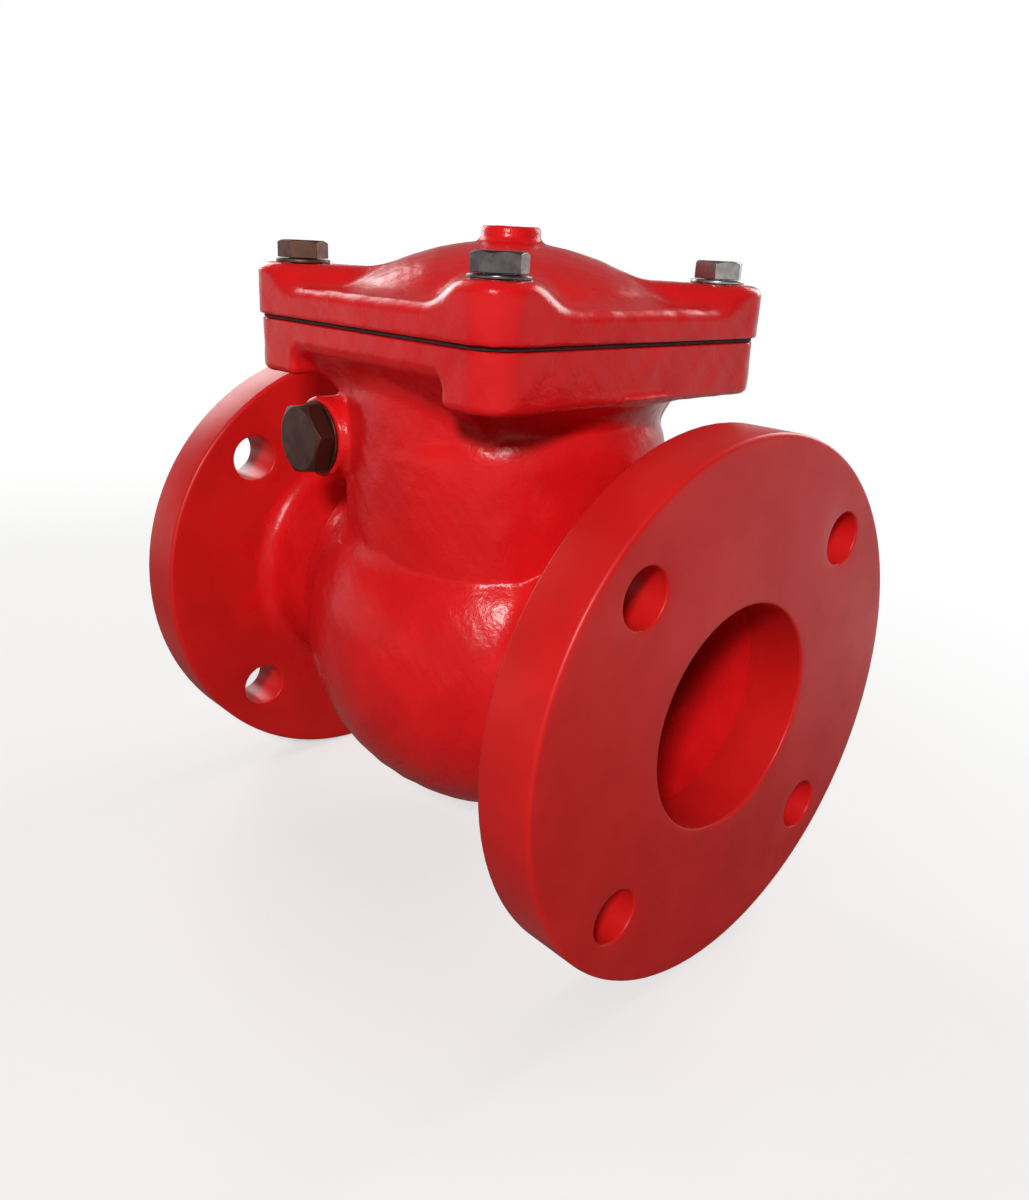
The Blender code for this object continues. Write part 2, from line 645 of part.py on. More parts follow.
def make_cover():
    """Build the square cover with its bolt ridges, its dome and the bolt holes."""
    cover = rounded_square("cover", COVER_HALF_WIDTH, COVER_Z, BOSS_Z)
    soften_top(cover, BOSS_Z)
    cut(cover, [valley(number) for number in range(4)])
    foot = COVER_Z + COVER_EDGE_THICKNESS / 2
    join(cover, [dome_solid("dome", DOME_OUTER_RADIUS, DOME_FOOT_RADIUS, foot, boss=True)])
    inner = DOME_OUTER_RADIUS - DOME_WALL
    hollow = dome_solid("hollow", inner, CHAMBER_INNER_RADIUS, COVER_Z - DOME_WALL)
    cut(cover, [hollow])
    reach = CORNER_BOSS_HEIGHT
    cut(cover, cover_bolt_holes(COVER_Z - reach, 3 * reach, BOLT_RADIUS + COVER_HOLE_CLEARANCE))
    return finish(cover, "cover", RED_PAINT)


def make_gasket():
    """Cut the joint sheet to the chamber and the bolts."""
    half = BODY_PLATE_HALF_WIDTH - FIT
    sheet = rounded_square("sheet", half, GASKET_Z, GASKET_Z + GASKET_THICKNESS)
    middle = cylinder("sheet_bore", CHAMBER_INNER_RADIUS, (0, 0, GASKET_Z - GASKET_THICKNESS),
                      3 * GASKET_THICKNESS, "Z", LARGE_SIDES)
    holes = cover_bolt_holes(GASKET_Z - GASKET_THICKNESS, 3 * GASKET_THICKNESS,
                             BOLT_RADIUS + COVER_HOLE_CLEARANCE)
    cut(sheet, [middle] + holes)
    return finish(sheet, "cover_gasket", SHEET)


def chamfered_hexagon(name, flats, start, length, axis, turn=0.0):
    """Make a hexagon whose far corners are turned off by a flat cone."""
    head = hexagon(name, flats, start, length, axis, turn)
    slope = math.tan(CHAMFER_ANGLE)
    apex = length + flats / 2 * CHAMFER_CROWN * slope
    corner = flats
    profile = [(0.0, apex), (corner, apex - corner * slope), (corner, -length), (0.0, -length)]
    return keep_inside(head, [turned("chamfer", profile, axis, MEDIUM_SIDES, start)])


def make_cover_bolt(number, x, y):
    """Make one hexagon bolt."""
    head = chamfered_hexagon("head", BOLT_HEAD_FLATS, (x, y, HEAD_Z), BOLT_HEAD_HEIGHT, "Z")
    foot = JOINT_Z - BOLT_ENGAGEMENT
    top = HEAD_Z + BOLT_HEAD_HEIGHT / 2
    profile = [(0.0, top), (BOLT_RADIUS, top), (BOLT_RADIUS, foot + BOLT_POINT),
               (BOLT_RADIUS - BOLT_POINT, foot), (0.0, foot)]
    join(head, [turned("shank", profile, "Z", SMALL_SIDES, (x, y, 0))])
    steel = BROWN_STEEL if number == 1 else ZINC
    return finish(head, f"cover_bolt_{number}", steel, (x, y, HEAD_Z))


def make_bolt_washer(number, x, y):
    """Turn one plain washer."""
    low = WASHER_Z
    high = WASHER_Z + WASHER_THICKNESS
    inner = BOLT_RADIUS + COVER_HOLE_CLEARANCE
    profile = [(WASHER_RADIUS, high), (WASHER_RADIUS, low), (inner, low), (inner, high)]
    ring = turned("washer", profile, "Z", MEDIUM_SIDES, (x, y, 0), ring=True)
    steel = BROWN_STEEL if number == 1 else ZINC
    return finish(ring, f"bolt_washer_{number}", steel, (x, y, low))


def make_seat_ring():
    """Turn the seat ring with its raised contact face."""
    profile = [(SEAT_CONTACT_OUTER, SEAT_FACE_X), (SEAT_RING_RADIUS, SEAT_WALL_X),
               (SEAT_RING_RADIUS, SEAT_BACK_X), (BORE_RADIUS, SEAT_BACK_X),
               (BORE_RADIUS, SEAT_WALL_X), (SEAT_CONTACT_INNER, SEAT_FACE_X)]
    ring = turned("seat", profile, "X", LARGE_SIDES, (0, 0, BORE_HEIGHT), ring=True)
    return finish(ring, "seat_ring", GUNMETAL, (SEAT_FACE_X, 0, BORE_HEIGHT))


def make_disc(parent):
    """Turn the disc with its hub and stud, and drill the stud for the split pin."""
    step_x = DISC_FACE_X + DISC_RING_THICKNESS + FIT
    front = DISC_FACE_X + DISC_RING_PROUD
    step_radius = SEAT_CONTACT_INNER - FIT
    profile = [(0.0, STUD_END_X), (STUD_RADIUS - STUD_CHAMFER, STUD_END_X),
               (STUD_RADIUS, STUD_END_X - STUD_CHAMFER), (STUD_RADIUS, DISC_HUB_X),
               (DISC_HUB_RADIUS, DISC_HUB_X),
               (DISC_HUB_RADIUS, DISC_BACK_X + DISC_HUB_LENGTH / 3),
               (DISC_HUB_FOOT_RADIUS, DISC_BACK_X),
               (DISC_RADIUS - DISC_EDGE, step_x + DISC_EDGE), (DISC_RADIUS, step_x),
               (step_radius, step_x), (step_radius, front), (0.0, front)]
    disc = turned("disc", profile, "X", LARGE_SIDES, (0, 0, BORE_HEIGHT))
    cut(disc, [split_pin_hole()])
    return finish(disc, "disc", DARK_IRON, DISC_CENTRE, parent)


def split_pin_x():
    """Return where the split pin crosses the stud, in the middle of the nut's slots."""
    return NUT_END_X - NUT_SLOT_DEPTH / 2


def split_pin_hole():
    """Make the cross hole of the stud."""
    start = (split_pin_x(), -2 * STUD_RADIUS, BORE_HEIGHT)
    return cylinder("pin_hole", SPLIT_PIN_RADIUS + FIT, start, 4 * STUD_RADIUS, "Y", WIRE_SIDES)


def make_disc_ring(parent):
    """Turn the facing ring that sits in the step of the disc."""
    high = DISC_FACE_X + DISC_RING_THICKNESS
    outer = DISC_RADIUS - FIT
    profile = [(outer, high), (outer, DISC_FACE_X), (SEAT_CONTACT_INNER, DISC_FACE_X),
               (SEAT_CONTACT_INNER, high)]
    ring = turned("facing", profile, "X", LARGE_SIDES, (0, 0, BORE_HEIGHT), ring=True)
    return finish(ring, "disc_ring", GUNMETAL, DISC_CENTRE, parent)


def web_line(steps=CURVE_STEPS):
    """Return the bent middle line of the arm, in X and Z, from the barrel to the eye."""
    start = Vector((HINGE_X, HINGE_Z))
    end = Vector((EYE_X + ARM_EYE_LENGTH / 2, BORE_HEIGHT))
    bend = Vector((end.x, HINGE_Z - ARM_BEND_DROP))
    points = []
    for i in range(steps + 1):
        t = i / steps
        points.append(start * (1 - t) ** 2 + bend * 2 * t * (1 - t) + end * t ** 2)
    return points


def web(name, depth, width):
    """Extrude a tapering strip along the arm's middle line, across the hinge axis."""
    line = web_line()
    last = len(line) - 1
    sides = []
    for side in (-0.5, 0.5):
        edge = []
        for i, point in enumerate(line):
            ahead = line[min(i + 1, last)] - line[max(i - 1, 0)]
            normal = Vector((-ahead.y, ahead.x)).normalized()
            share = 1 - (1 - ARM_FOOT_DEPTH_SHARE) * i / last
            edge.append(point + normal * depth * share * side)
        sides.append(edge)
    outline = sides[0] + sides[1][::-1]
    curve = bpy.data.curves.new(name, "CURVE")
    curve.dimensions = "2D"
    curve.fill_mode = "BOTH"
    curve.extrude = width / 2
    spline = curve.splines.new("POLY")
    spline.points.add(len(outline) - 1)
    for target, point in zip(spline.points, outline):
        target.co = (point.x, point.y, 0.0, 1.0)
    spline.use_cyclic_u = True
    flat = add_tool(name, curve)
    bpy.context.view_layer.update()
    graph = bpy.context.evaluated_depsgraph_get()
    mesh = bpy.data.meshes.new_from_object(flat.evaluated_get(graph))
    bpy.data.objects.remove(flat)
    edit = bmesh.new()
    edit.from_mesh(mesh)
    bmesh.ops.remove_doubles(edit, verts=edit.verts, dist=MERGE_DISTANCE)
    bmesh.ops.transform(edit, matrix=Matrix.Rotation(math.pi / 2, 4, "X"), verts=edit.verts)
    bmesh.ops.recalc_face_normals(edit, faces=edit.faces)
    edit.to_mesh(mesh)
    edit.free()
    return add_tool(name, mesh)


def make_hinge_arm(parent):
    """Join barrel, eye, web and rib, and bore them for pin and stud."""
    barrel = cylinder("barrel", ARM_BARREL_RADIUS, (HINGE_X, -ARM_BARREL_LENGTH / 2, HINGE_Z),
                      ARM_BARREL_LENGTH, "Y", MEDIUM_SIDES)
    eye = cylinder("eye", ARM_EYE_RADIUS, (EYE_X, 0, BORE_HEIGHT), ARM_EYE_LENGTH, "X",
                   MEDIUM_SIDES)
    join(barrel, [eye, web("web", ARM_WEB_DEPTH, ARM_WEB_WIDTH),
                  web("rib", ARM_RIB_DEPTH, ARM_RIB_WIDTH)])
    pin_bore = cylinder("pin_bore", PIN_RADIUS + RUNNING_FIT,
                        (HINGE_X, -ARM_BARREL_LENGTH, HINGE_Z), 2 * ARM_BARREL_LENGTH, "Y",
                        MEDIUM_SIDES)
    stud_bore = cylinder("stud_bore", STUD_RADIUS + RUNNING_FIT,
                         (DISC_BACK_X, 0, BORE_HEIGHT), NUT_END_X - DISC_BACK_X, "X",
                         MEDIUM_SIDES)
    cut(barrel, [pin_bore, stud_bore])
    return finish(barrel, "hinge_arm", GUNMETAL, HINGE_POINT, parent)


def make_hinge_pin():
    """Turn the cross pin with chamfered ends."""
    low = -HINGE_BOSS_REACH + PLUG_SPIGOT_LENGTH + 2 * FIT
    high = HINGE_BOSS_REACH - BLIND_END_WALL - FIT
    narrow = PIN_RADIUS - PIN_CHAMFER
    profile = [(0.0, high), (narrow, high), (PIN_RADIUS, high - PIN_CHAMFER),
               (PIN_RADIUS, low + PIN_CHAMFER), (narrow, low), (0.0, low)]
    pin = turned("pin", profile, "Y", MEDIUM_SIDES, (HINGE_X, 0, HINGE_Z))
    return finish(pin, "hinge_pin", STAINLESS, HINGE_POINT)


def make_hinge_bush(name, side):
    """Turn one bush, seated at the far end of its side of the bore."""
    if side < 0:
        far = -HINGE_BOSS_REACH + PLUG_SPIGOT_LENGTH + 2 * FIT
        low, high = far, far + BUSH_LENGTH
    else:
        far = HINGE_BOSS_REACH - BLIND_END_WALL - FIT
        low, high = far - BUSH_LENGTH, far
    inner = PIN_RADIUS + RUNNING_FIT
    profile = [(BUSH_RADIUS, high), (BUSH_RADIUS, low), (inner, low), (inner, high)]
    bush = turned("bush", profile, "Y", MEDIUM_SIDES, (HINGE_X, 0, HINGE_Z), ring=True)
    return finish(bush, name, GUNMETAL, (HINGE_X, low, HINGE_Z))


def make_disc_washer(parent):
    """Turn the washer between the arm's eye and the nut."""
    high = DISC_WASHER_X + DISC_WASHER_THICKNESS
    inner = STUD_RADIUS + FIT
    profile = [(DISC_WASHER_RADIUS, high), (DISC_WASHER_RADIUS, DISC_WASHER_X),
               (inner, DISC_WASHER_X), (inner, high)]
    ring = turned("washer", profile, "X", MEDIUM_SIDES, (0, 0, BORE_HEIGHT), ring=True)
    return finish(ring, "disc_washer", STAINLESS, DISC_CENTRE, parent)


def make_disc_nut(parent):
    """Cut the slots of the castle nut and bore it for the stud."""
    nut = chamfered_hexagon("nut", NUT_FLATS, (NUT_X, 0, BORE_HEIGHT), NUT_HEIGHT, "X")
    bore = cylinder("nut_bore", STUD_RADIUS + FIT, (NUT_X - NUT_HEIGHT, 0, BORE_HEIGHT),
                    3 * NUT_HEIGHT, "X", MEDIUM_SIDES)
    cut(nut, [bore])
    half = NUT_SLOT_WIDTH / 2
    for number in range(NUT_SLOTS):
        slot = block("slot", (NUT_END_X - NUT_SLOT_DEPTH, STUD_RADIUS / 2 + half / 2, -half),
                     (NUT_END_X + NUT_SLOT_DEPTH, NUT_FLATS, half))
        turn = Matrix.Rotation(2 * math.pi * number / NUT_SLOTS, 4, "X")
        slot.data.transform(Matrix.Translation((0, 0, BORE_HEIGHT)) @ turn)
        cut(nut, [slot])
    return finish(nut, "disc_nut", STAINLESS, DISC_CENTRE, parent)


def make_split_pin(parent):
    """Join the eye, the shank and the two spread legs of the split pin."""
    x = split_pin_x()
    reach = NUT_FLATS / 2 + SPLIT_PIN_RADIUS
    shank = cylinder("shank", SPLIT_PIN_RADIUS, (x, -reach, BORE_HEIGHT), 2 * reach, "Y",
                     WIRE_SIDES)
    bpy.ops.mesh.primitive_torus_add(major_radius=SPLIT_PIN_EYE_RADIUS,
                                     minor_radius=SPLIT_PIN_EYE_WIRE,
                                     major_segments=SMALL_SIDES, minor_segments=WIRE_SIDES)
    ring = bpy.context.object
    eye_mesh = ring.data
    bpy.data.objects.remove(ring)
    eye_mesh.transform(Matrix.Translation((x, -reach - SPLIT_PIN_EYE_RADIUS, BORE_HEIGHT)))
    tools = [add_tool("eye", eye_mesh)]
    for side in (-1, 1):
        leg = cylinder("leg", SPLIT_PIN_LEG_RADIUS, (0, 0, 0), SPLIT_PIN_LEG, "Y", WIRE_SIDES)
        bend = Matrix.Rotation(side * SPLIT_PIN_SPREAD, 4, "X")
        leg.data.transform(Matrix.Translation((x, reach - SPLIT_PIN_RADIUS, BORE_HEIGHT)) @ bend)
        tools.append(leg)
    join(shank, tools)
    return finish(shank, "split_pin", STAINLESS, DISC_CENTRE, parent)


def make_hinge_plug():
    """Make the hexagon plug that closes the pin bore."""
    seat = -HINGE_BOSS_REACH - PLUG_WASHER_THICKNESS - 2 * FIT
    head = chamfered_hexagon("plug", PLUG_FLATS, (0, 0, 0), PLUG_HEAD_HEIGHT, "Y", PLUG_TURN)
    reach = -HINGE_BOSS_REACH - seat + PLUG_SPIGOT_LENGTH
    spigot = cylinder("spigot", PLUG_SPIGOT_RADIUS, (0, -reach, 0), reach + PLUG_HEAD_HEIGHT / 2,
                      "Y", MEDIUM_SIDES)
    join(head, [spigot])
    turn = Matrix.Rotation(math.pi, 4, "Z")
    head.data.transform(Matrix.Translation((HINGE_X, seat, HINGE_Z)) @ turn)
    return finish(head, "hinge_plug", BROWN_STEEL, (HINGE_X, seat, HINGE_Z))


def make_plug_washer():
    """Turn the sealing washer of the plug."""
    high = -HINGE_BOSS_REACH - FIT
    low = high - PLUG_WASHER_THICKNESS
    inner = PLUG_SPIGOT_RADIUS + FIT
    profile = [(PLUG_WASHER_RADIUS, high), (PLUG_WASHER_RADIUS, low), (inner, low),
               (inner, high)]
    ring = turned("washer", profile, "Y", MEDIUM_SIDES, (HINGE_X, 0, HINGE_Z), ring=True)
    return finish(ring, "plug_washer", COPPER, (HINGE_X, low, HINGE_Z))


def make_pivot(name, location):
    """Add an empty that marks a joint axis."""
    pivot = bpy.data.objects.new(name, None)
    pivot.empty_display_size = PIN_RADIUS
    PARTS.objects.link(pivot)
    pivot.location = location
    return pivot


def main():
    """Build every piece of the valve."""
    make_body()
    make_cover()
    make_gasket()
    for number, (x, y) in enumerate(corners(COVER_BOLT_OFFSET), start=1):
        make_cover_bolt(number, x, y)
        make_bolt_washer(number, x, y)
    make_seat_ring()
    make_hinge_pin()
    make_hinge_bush("hinge_bush_left", -1)
    make_hinge_bush("hinge_bush_right", 1)
    make_plug_washer()
    make_hinge_plug()
    swing = make_pivot("arm_swing", HINGE_POINT)
    make_hinge_arm(swing)
    for maker in (make_disc, make_disc_ring, make_disc_washer, make_disc_nut, make_split_pin):
        maker(swing)


main()
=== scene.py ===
"""A flanged swing non-return valve in red epoxy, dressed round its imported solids.

The two castings are worked out as distance fields, so that their forms flow into each
other as cast iron does. Every other new piece is a surface of two parameters. Sizes are
in millimetres, measured from the middle of the bore, and turned to metres at the end.
"""
import logging
import math
from dataclasses import dataclass
from enum import Enum
from typing import Callable, Sequence

import bmesh
import bpy
import numpy as np
from mathutils import Matrix, Vector


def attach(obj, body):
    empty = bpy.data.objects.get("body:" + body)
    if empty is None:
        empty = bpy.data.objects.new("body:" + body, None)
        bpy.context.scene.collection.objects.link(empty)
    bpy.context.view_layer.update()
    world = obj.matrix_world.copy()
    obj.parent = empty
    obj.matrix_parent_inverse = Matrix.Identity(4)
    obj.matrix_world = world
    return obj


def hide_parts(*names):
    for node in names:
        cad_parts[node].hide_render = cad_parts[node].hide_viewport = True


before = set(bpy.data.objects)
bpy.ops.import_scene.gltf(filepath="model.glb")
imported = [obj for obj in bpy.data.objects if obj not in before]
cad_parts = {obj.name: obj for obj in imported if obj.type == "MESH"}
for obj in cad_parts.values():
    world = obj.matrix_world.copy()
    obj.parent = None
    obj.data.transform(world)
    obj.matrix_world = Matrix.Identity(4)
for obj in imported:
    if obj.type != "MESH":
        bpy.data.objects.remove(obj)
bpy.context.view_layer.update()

LOG = logging.getLogger("valve")

Array = np.ndarray
Field = Callable[[Array, Array, Array], Array]
Colour = tuple[float, float, float, float]
Span = tuple[float, float]
Place = tuple[float, float, float]
Tree = bpy.types.NodeTree
Socket = bpy.types.NodeSocket

# Sizes that more than one piece takes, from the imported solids. FIT is the gap between pieces
# that touch, and SKIN the step that keeps two surfaces of one node from coinciding.
MM = 0.001
BORE_HEIGHT = 95.7945
HALF_LENGTH = 120.65
FLANGE_BACK = 98.65
BORE_RADIUS = 40.0
JOINT = 116.0
COVER_FOOT = 117.6
COVER_TOP = 135.7
BOLT_OFFSET = 54.5
BOLT_DEPTH = 14.0
HINGE_X = -37.0
HINGE_Z = 74.0
BOSS_FACE = 60.5
PLUG_SPIGOT_LENGTH = 10.5
FIT = 0.3
SKIN = 0.03


class Axis(Enum):
    """The axis that a turned piece is turned about, with the order of its coordinates."""

    X = (1, 2, 0)
    Y = (2, 0, 1)
    Z = (0, 1, 2)


class End(Enum):
    """One end of the pipe run, with its sign along X."""

    INLET = -1
    OUTLET = 1


def to_linear(code: str) -> Colour:
    """Turn an sRGB hex value into a linear colour.

    Args:
        code: Six hex digits after a hash sign.

    Returns:
        Red, green, blue and an alpha of one.
    """
    parts = [int(code[i:i + 2], 16) / 255 for i in (1, 3, 5)]
    linear = [p / 12.92 if p <= 0.04045 else ((p + 0.055) / 1.055) ** 2.4 for p in parts]
    return (*linear, 1.0)


def per_metre(size_mm: float) -> float:
    """Return the texture scale at which one cell of a pattern is this many millimetres."""
    return 1.0 / (size_mm * MM)


@dataclass
class Shell:
    """A mesh as arrays: points in millimetres and four-sided faces."""

    points: Array
    faces: Array

    def moved(self, shift: Place) -> "Shell":
        """Return the shell moved by a shift in millimetres."""
        return Shell(self.points + np.asarray(shift, float), self.faces)


def joined(shells: Sequence[Shell]) -> Shell:
    """Put several shells into one, with the face numbers of each moved up."""
    starts = np.cumsum([0] + [len(s.points) for s in shells[:-1]])
    faces = [s.faces + start for s, start in zip(shells, starts)]
    return Shell(np.concatenate([s.points for s in shells]), np.concatenate(faces))


def grid_shell(points: Array, closed_rows: bool = False, closed_columns: bool = False) -> Shell:
    """Make a shell of a grid of points.

    Args:
        points: An array of rows by columns by three.
        closed_rows: Whether the last row joins the first.
        closed_columns: Whether the last column joins the first.

    Returns:
        The shell, with one face for each cell of the grid.
    """
    rows, columns = points.shape[:2]
    index = np.arange(rows * columns).reshape(rows, columns)
    if closed_rows:
        index = np.concatenate([index, index[:1]], axis=0)
    if closed_columns:
        index = np.concatenate([index, index[:, :1]], axis=1)
    corners = [index[:-1, :-1], index[1:, :-1], index[1:, 1:], index[:-1, 1:]]
    faces = np.stack([c.ravel() for c in corners], axis=1)
    return Shell(points.reshape(-1, 3), faces)


def laid_out(axis: Axis, parts: tuple[Array, Array, Array]) -> Array:
    """Stack two flat coordinates and a height in the order that an axis needs."""
    points = np.zeros(np.broadcast(*parts).shape + (3,))
    for place, values in zip(axis.value, parts):
        points[..., place] = values
    return points


def rounded(corners: Sequence[Place], steps: int = 4) -> Array:
    """Round the corners of an open profile with arcs.

    The arc touches both sides at the rounding times the tangent of half the turn from the
    corner, and is drawn by sweeping between the two touching directions from its centre.

    Args:
        corners: Each corner as (radius, height, rounding), in order.
        steps: The number of chords in each arc.

    Returns:
        The profile as an array of (radius, height) points.
    """
    places = np.array([c[:2] for c in corners], float)
    line = [places[:1]]
    for i in range(1, len(corners) - 1):
        size = corners[i][2]
        before = places[i - 1] - places[i]
        after = places[i + 1] - places[i]
        before /= np.linalg.norm(before)
        after /= np.linalg.norm(after)
        half = math.acos(float(np.clip(before @ after, -1, 1))) / 2
        if size <= 0 or abs(math.sin(half)) < 1e-6 or abs(math.cos(half)) < 1e-6:
            line.append(places[i:i + 1])
            continue
        middle = (before + after) / np.linalg.norm(before + after)
        centre = places[i] + middle * size / math.sin(half)
        start = places[i] + before * size / math.tan(half) - centre
        end = places[i] + after * size / math.tan(half) - centre
        share = np.linspace(0, 1, steps + 1)[:, None]
        sweep = math.pi - 2 * half
        weights = np.sin((1 - share) * sweep), np.sin(share * sweep)
        line.append(centre + (start * weights[0] + end * weights[1]) / math.sin(sweep))
    line.append(places[-1:])
    return np.concatenate(line)


def turned(profile: Array, axis: Axis, sides: int = 96, ring: bool = False) -> Shell:
    """Turn a profile of (radius, height) about an axis through the origin.

    Point (i, j) is radius j times the cosine and sine of angle i, at height j.
    """
    angles = np.linspace(0, 2 * math.pi, sides, endpoint=False)[:, None]
    radius, height = profile[None, :, 0], profile[None, :, 1]
    points = laid_out(axis, (radius * np.cos(angles), radius * np.sin(angles), height))
    return grid_shell(points, closed_rows=True, closed_columns=ring)


def flat_ring(inner: float, outer: float, thickness: float, eases: Span,
              axis: Axis) -> Shell:
    """Turn a washer that stands on the origin, with its outer edges eased above and below."""
    corners = rounded([(inner, thickness, 0), (outer, thickness, eases[0]), (outer, 0, eases[1]),
                       (inner, 0, 0), (inner, thickness, 0)])
    return turned(corners[:-1], axis, 64, ring=True)


def linked(name: str, data: bpy.types.ID) -> bpy.types.Object:
    """Return a new object of some data, linked into the scene."""
    made = bpy.data.objects.new(name, data)
    bpy.context.scene.collection.objects.link(made)
    return made


def write_piece(name: str, shell: Shell, finish: "Finish", body: str,
                replaces: Sequence[str] = (), crease_deg: float = 32.0,
                weld: bool = True) -> bpy.types.Object:
    """Write a shell into a mesh, dress it and let it ride on its body.

    Args:
        name: The piece's name.
        shell: Its surface in millimetres from the middle of the bore.
        finish: Its finish.
        body: The body that it rides on.
        replaces: The CAD nodes that it stands for.
        crease_deg: Edges that turn by more than this are shaded sharp.
        weld: Whether doubles are merged and the faces turned outwards.

    Returns:
        The new object.
    """
    points = (shell.points + (0.0, 0.0, BORE_HEIGHT)) * MM
    mesh = bpy.data.meshes.new(name)
    mesh.from_pydata(points, [], shell.faces.tolist())
    if weld:
        edit = bmesh.new()
        edit.from_mesh(mesh)
        bmesh.ops.remove_doubles(edit, verts=edit.verts, dist=0.000004)
        bmesh.ops.recalc_face_normals(edit, faces=edit.faces)
        edit.to_mesh(mesh)
        edit.free()
    mesh.shade_smooth()
    mesh.set_sharp_from_angle(angle=math.radians(crease_deg))
    mesh.materials.append(finish.material())
    piece = linked(name, mesh)
    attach(piece, body)
    if replaces:
        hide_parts(*replaces)
    LOG.info("%s: %d faces, on %s", name, len(mesh.polygons), body)
    return piece


def dress_node(name: str, finish: "Finish") -> None:
    """Give a carried-over node a finish on every slot of its mesh."""
    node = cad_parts[name]
    if not node.material_slots:
        node.data.materials.append(finish.material())
    for place in node.material_slots:
        place.material = finish.material()
    LOG.info("%s: carried over as %s", name, finish.name)


def add_node(tree: Tree, kind: str, inputs: dict | None = None,
             **settings: object) -> bpy.types.Node:
    """Add one node to a tree.

    Args:
        tree: The tree.
        kind: The node's type, less the ShaderNode that all share.
        inputs: For each input socket, a value or the output socket that feeds it.
        settings: The node's own properties.

    Returns:
        The node.
    """
    made = tree.nodes.new("ShaderNode" + kind)
    for name, value in settings.items():
        setattr(made, name, value)
    for name, value in (inputs or {}).items():
        if isinstance(value, Socket):
            tree.links.new(value, made.inputs[name])
        else:
            made.inputs[name].default_value = value
    return made


@dataclass(frozen=True)
class Finish:
    """A finish: two colours that a soft mottle mixes, a roughness range and a fine grain.

    The mottle and the grain are noise on Object coordinates. Their sizes are real sizes
    in millimetres, and the grain's depth is the height of its bump.
    """

    name: str
    colour: str
    second_colour: str
    metallic: float
    roughness: Span
    mottle_mm: float
    grain_mm: float
    grain_depth_mm: float
    specular: float = 0.5

    def material(self) -> bpy.types.Material:
        """Return the finish's material, made on its first use."""
        found = bpy.data.materials.get(self.name)
        if found:
            return found
        made = bpy.data.materials.new(self.name)
        made.use_nodes = True
        tree = made.node_tree
        shader = tree.nodes["Principled BSDF"]
        shader.inputs["Metallic"].default_value = self.metallic
        shader.inputs["Specular IOR Level"].default_value = self.specular
        place = add_node(tree, "TexCoord").outputs["Object"]
        mottle = self.noise(tree, place, self.mottle_mm, 3.0)
        self.paint(tree, shader, mottle)
        tree.links.new(self.relief(tree, place), shader.inputs["Normal"])
        return made

    def noise(self, tree: Tree, place: Socket, size_mm: float, detail: float = 2.0) -> Socket:
        """Return noise between nought and one, with cells of a size in millimetres."""
        return add_node(tree, "TexNoise", {
            "Vector": place, "Scale": per_metre(size_mm), "Detail": detail,
            "Roughness": 0.55}).outputs["Fac"]

    def paint(self, tree: Tree, shader: bpy.types.Node, mottle: Socket) -> None:
        """Feed colour and roughness from the mottle."""
        share = add_node(tree, "MapRange", {
            "Value": mottle, "From Min": 0.35, "From Max": 0.65}).outputs[0]
        mixed = add_node(tree, "Mix", {
            "Factor": share, "A": to_linear(self.colour), "B": to_linear(self.second_colour)},
            data_type="RGBA")
        tree.links.new(mixed.outputs["Result"], shader.inputs["Base Color"])
        rough = add_node(tree, "MapRange", {
            "Value": mottle, "From Min": 0.3, "From Max": 0.7, "To Min": self.roughness[0],
            "To Max": self.roughness[1]})
        tree.links.new(rough.outputs[0], shader.inputs["Roughness"])

    def relief(self, tree: Tree, place: Socket) -> Socket:
        """Return a normal that carries the grain."""
        grain = self.noise(tree, place, self.grain_mm)
        return add_node(tree, "Bump", {
            "Height": grain, "Distance": self.grain_depth_mm * MM}).outputs["Normal"]


@dataclass(frozen=True)
class CastEpoxy(Finish):
    """Epoxy over sand-cast iron: a glossy skin that bridges the sand grain underneath."""

    peel_mm: float = 4.5
    peel_depth_mm: float = 0.10

    def relief(self, tree: Tree, place: Socket) -> Socket:
        """Return a normal with the sand grain on top of the paint's long waves."""
        wave = add_node(tree, "Bump", {
            "Height": self.noise(tree, place, self.peel_mm, 1.0),
            "Distance": self.peel_depth_mm * MM}).outputs["Normal"]
        return add_node(tree, "Bump", {
            "Height": self.noise(tree, place, self.grain_mm, 3.0),
            "Distance": self.grain_depth_mm * MM, "Normal": wave}).outputs["Normal"]


@dataclass(frozen=True)
class TurnedMetal(Finish):
    """Bare metal from a lathe: fine grooves round the bore axis that catch the light."""

    groove_mm: float = 0.6
    groove_depth_mm: float = 0.012

    def relief(self, tree: Tree, place: Socket) -> Socket:
        """Return a normal with rings at the pitch of the feed.

        A wave texture repeats every 2 pi over twenty times its scale, so the scale is
        worked out from the pitch.
        """
        centred = add_node(tree, "Mapping", {
            "Vector": place, "Location": (0.0, 0.0, -BORE_HEIGHT * MM)})
        rings = add_node(tree, "TexWave", {
            "Vector": centred.outputs["Vector"],
            "Scale": 2 * math.pi / 20 * per_metre(self.groove_mm), "Distortion": 0.4,
            "Detail": 1.0}, wave_type="RINGS", rings_direction="X")
        return add_node(tree, "Bump", {
            "Height": rings.outputs["Fac"],
            "Distance": self.groove_depth_mm * MM}).outputs["Normal"]


# Fusion-bonded red epoxy over sand-cast grey iron: high gloss, soft lumps, small pits.
CAST_PAINT = CastEpoxy("red epoxy on sand-cast iron", "#e2181b", "#d41217", 0.0, (0.20, 0.32),
                       22.0, 1.5, 0.12, specular=0.23)
# The same epoxy over a turned flange: flatter, with a drier gloss.
FLANGE_PAINT = CastEpoxy("red epoxy on turned flange", "#d81c1a", "#cb1615", 0.0, (0.34, 0.44),
                         30.0, 1.6, 0.022, specular=0.28, peel_mm=6.0, peel_depth_mm=0.06)
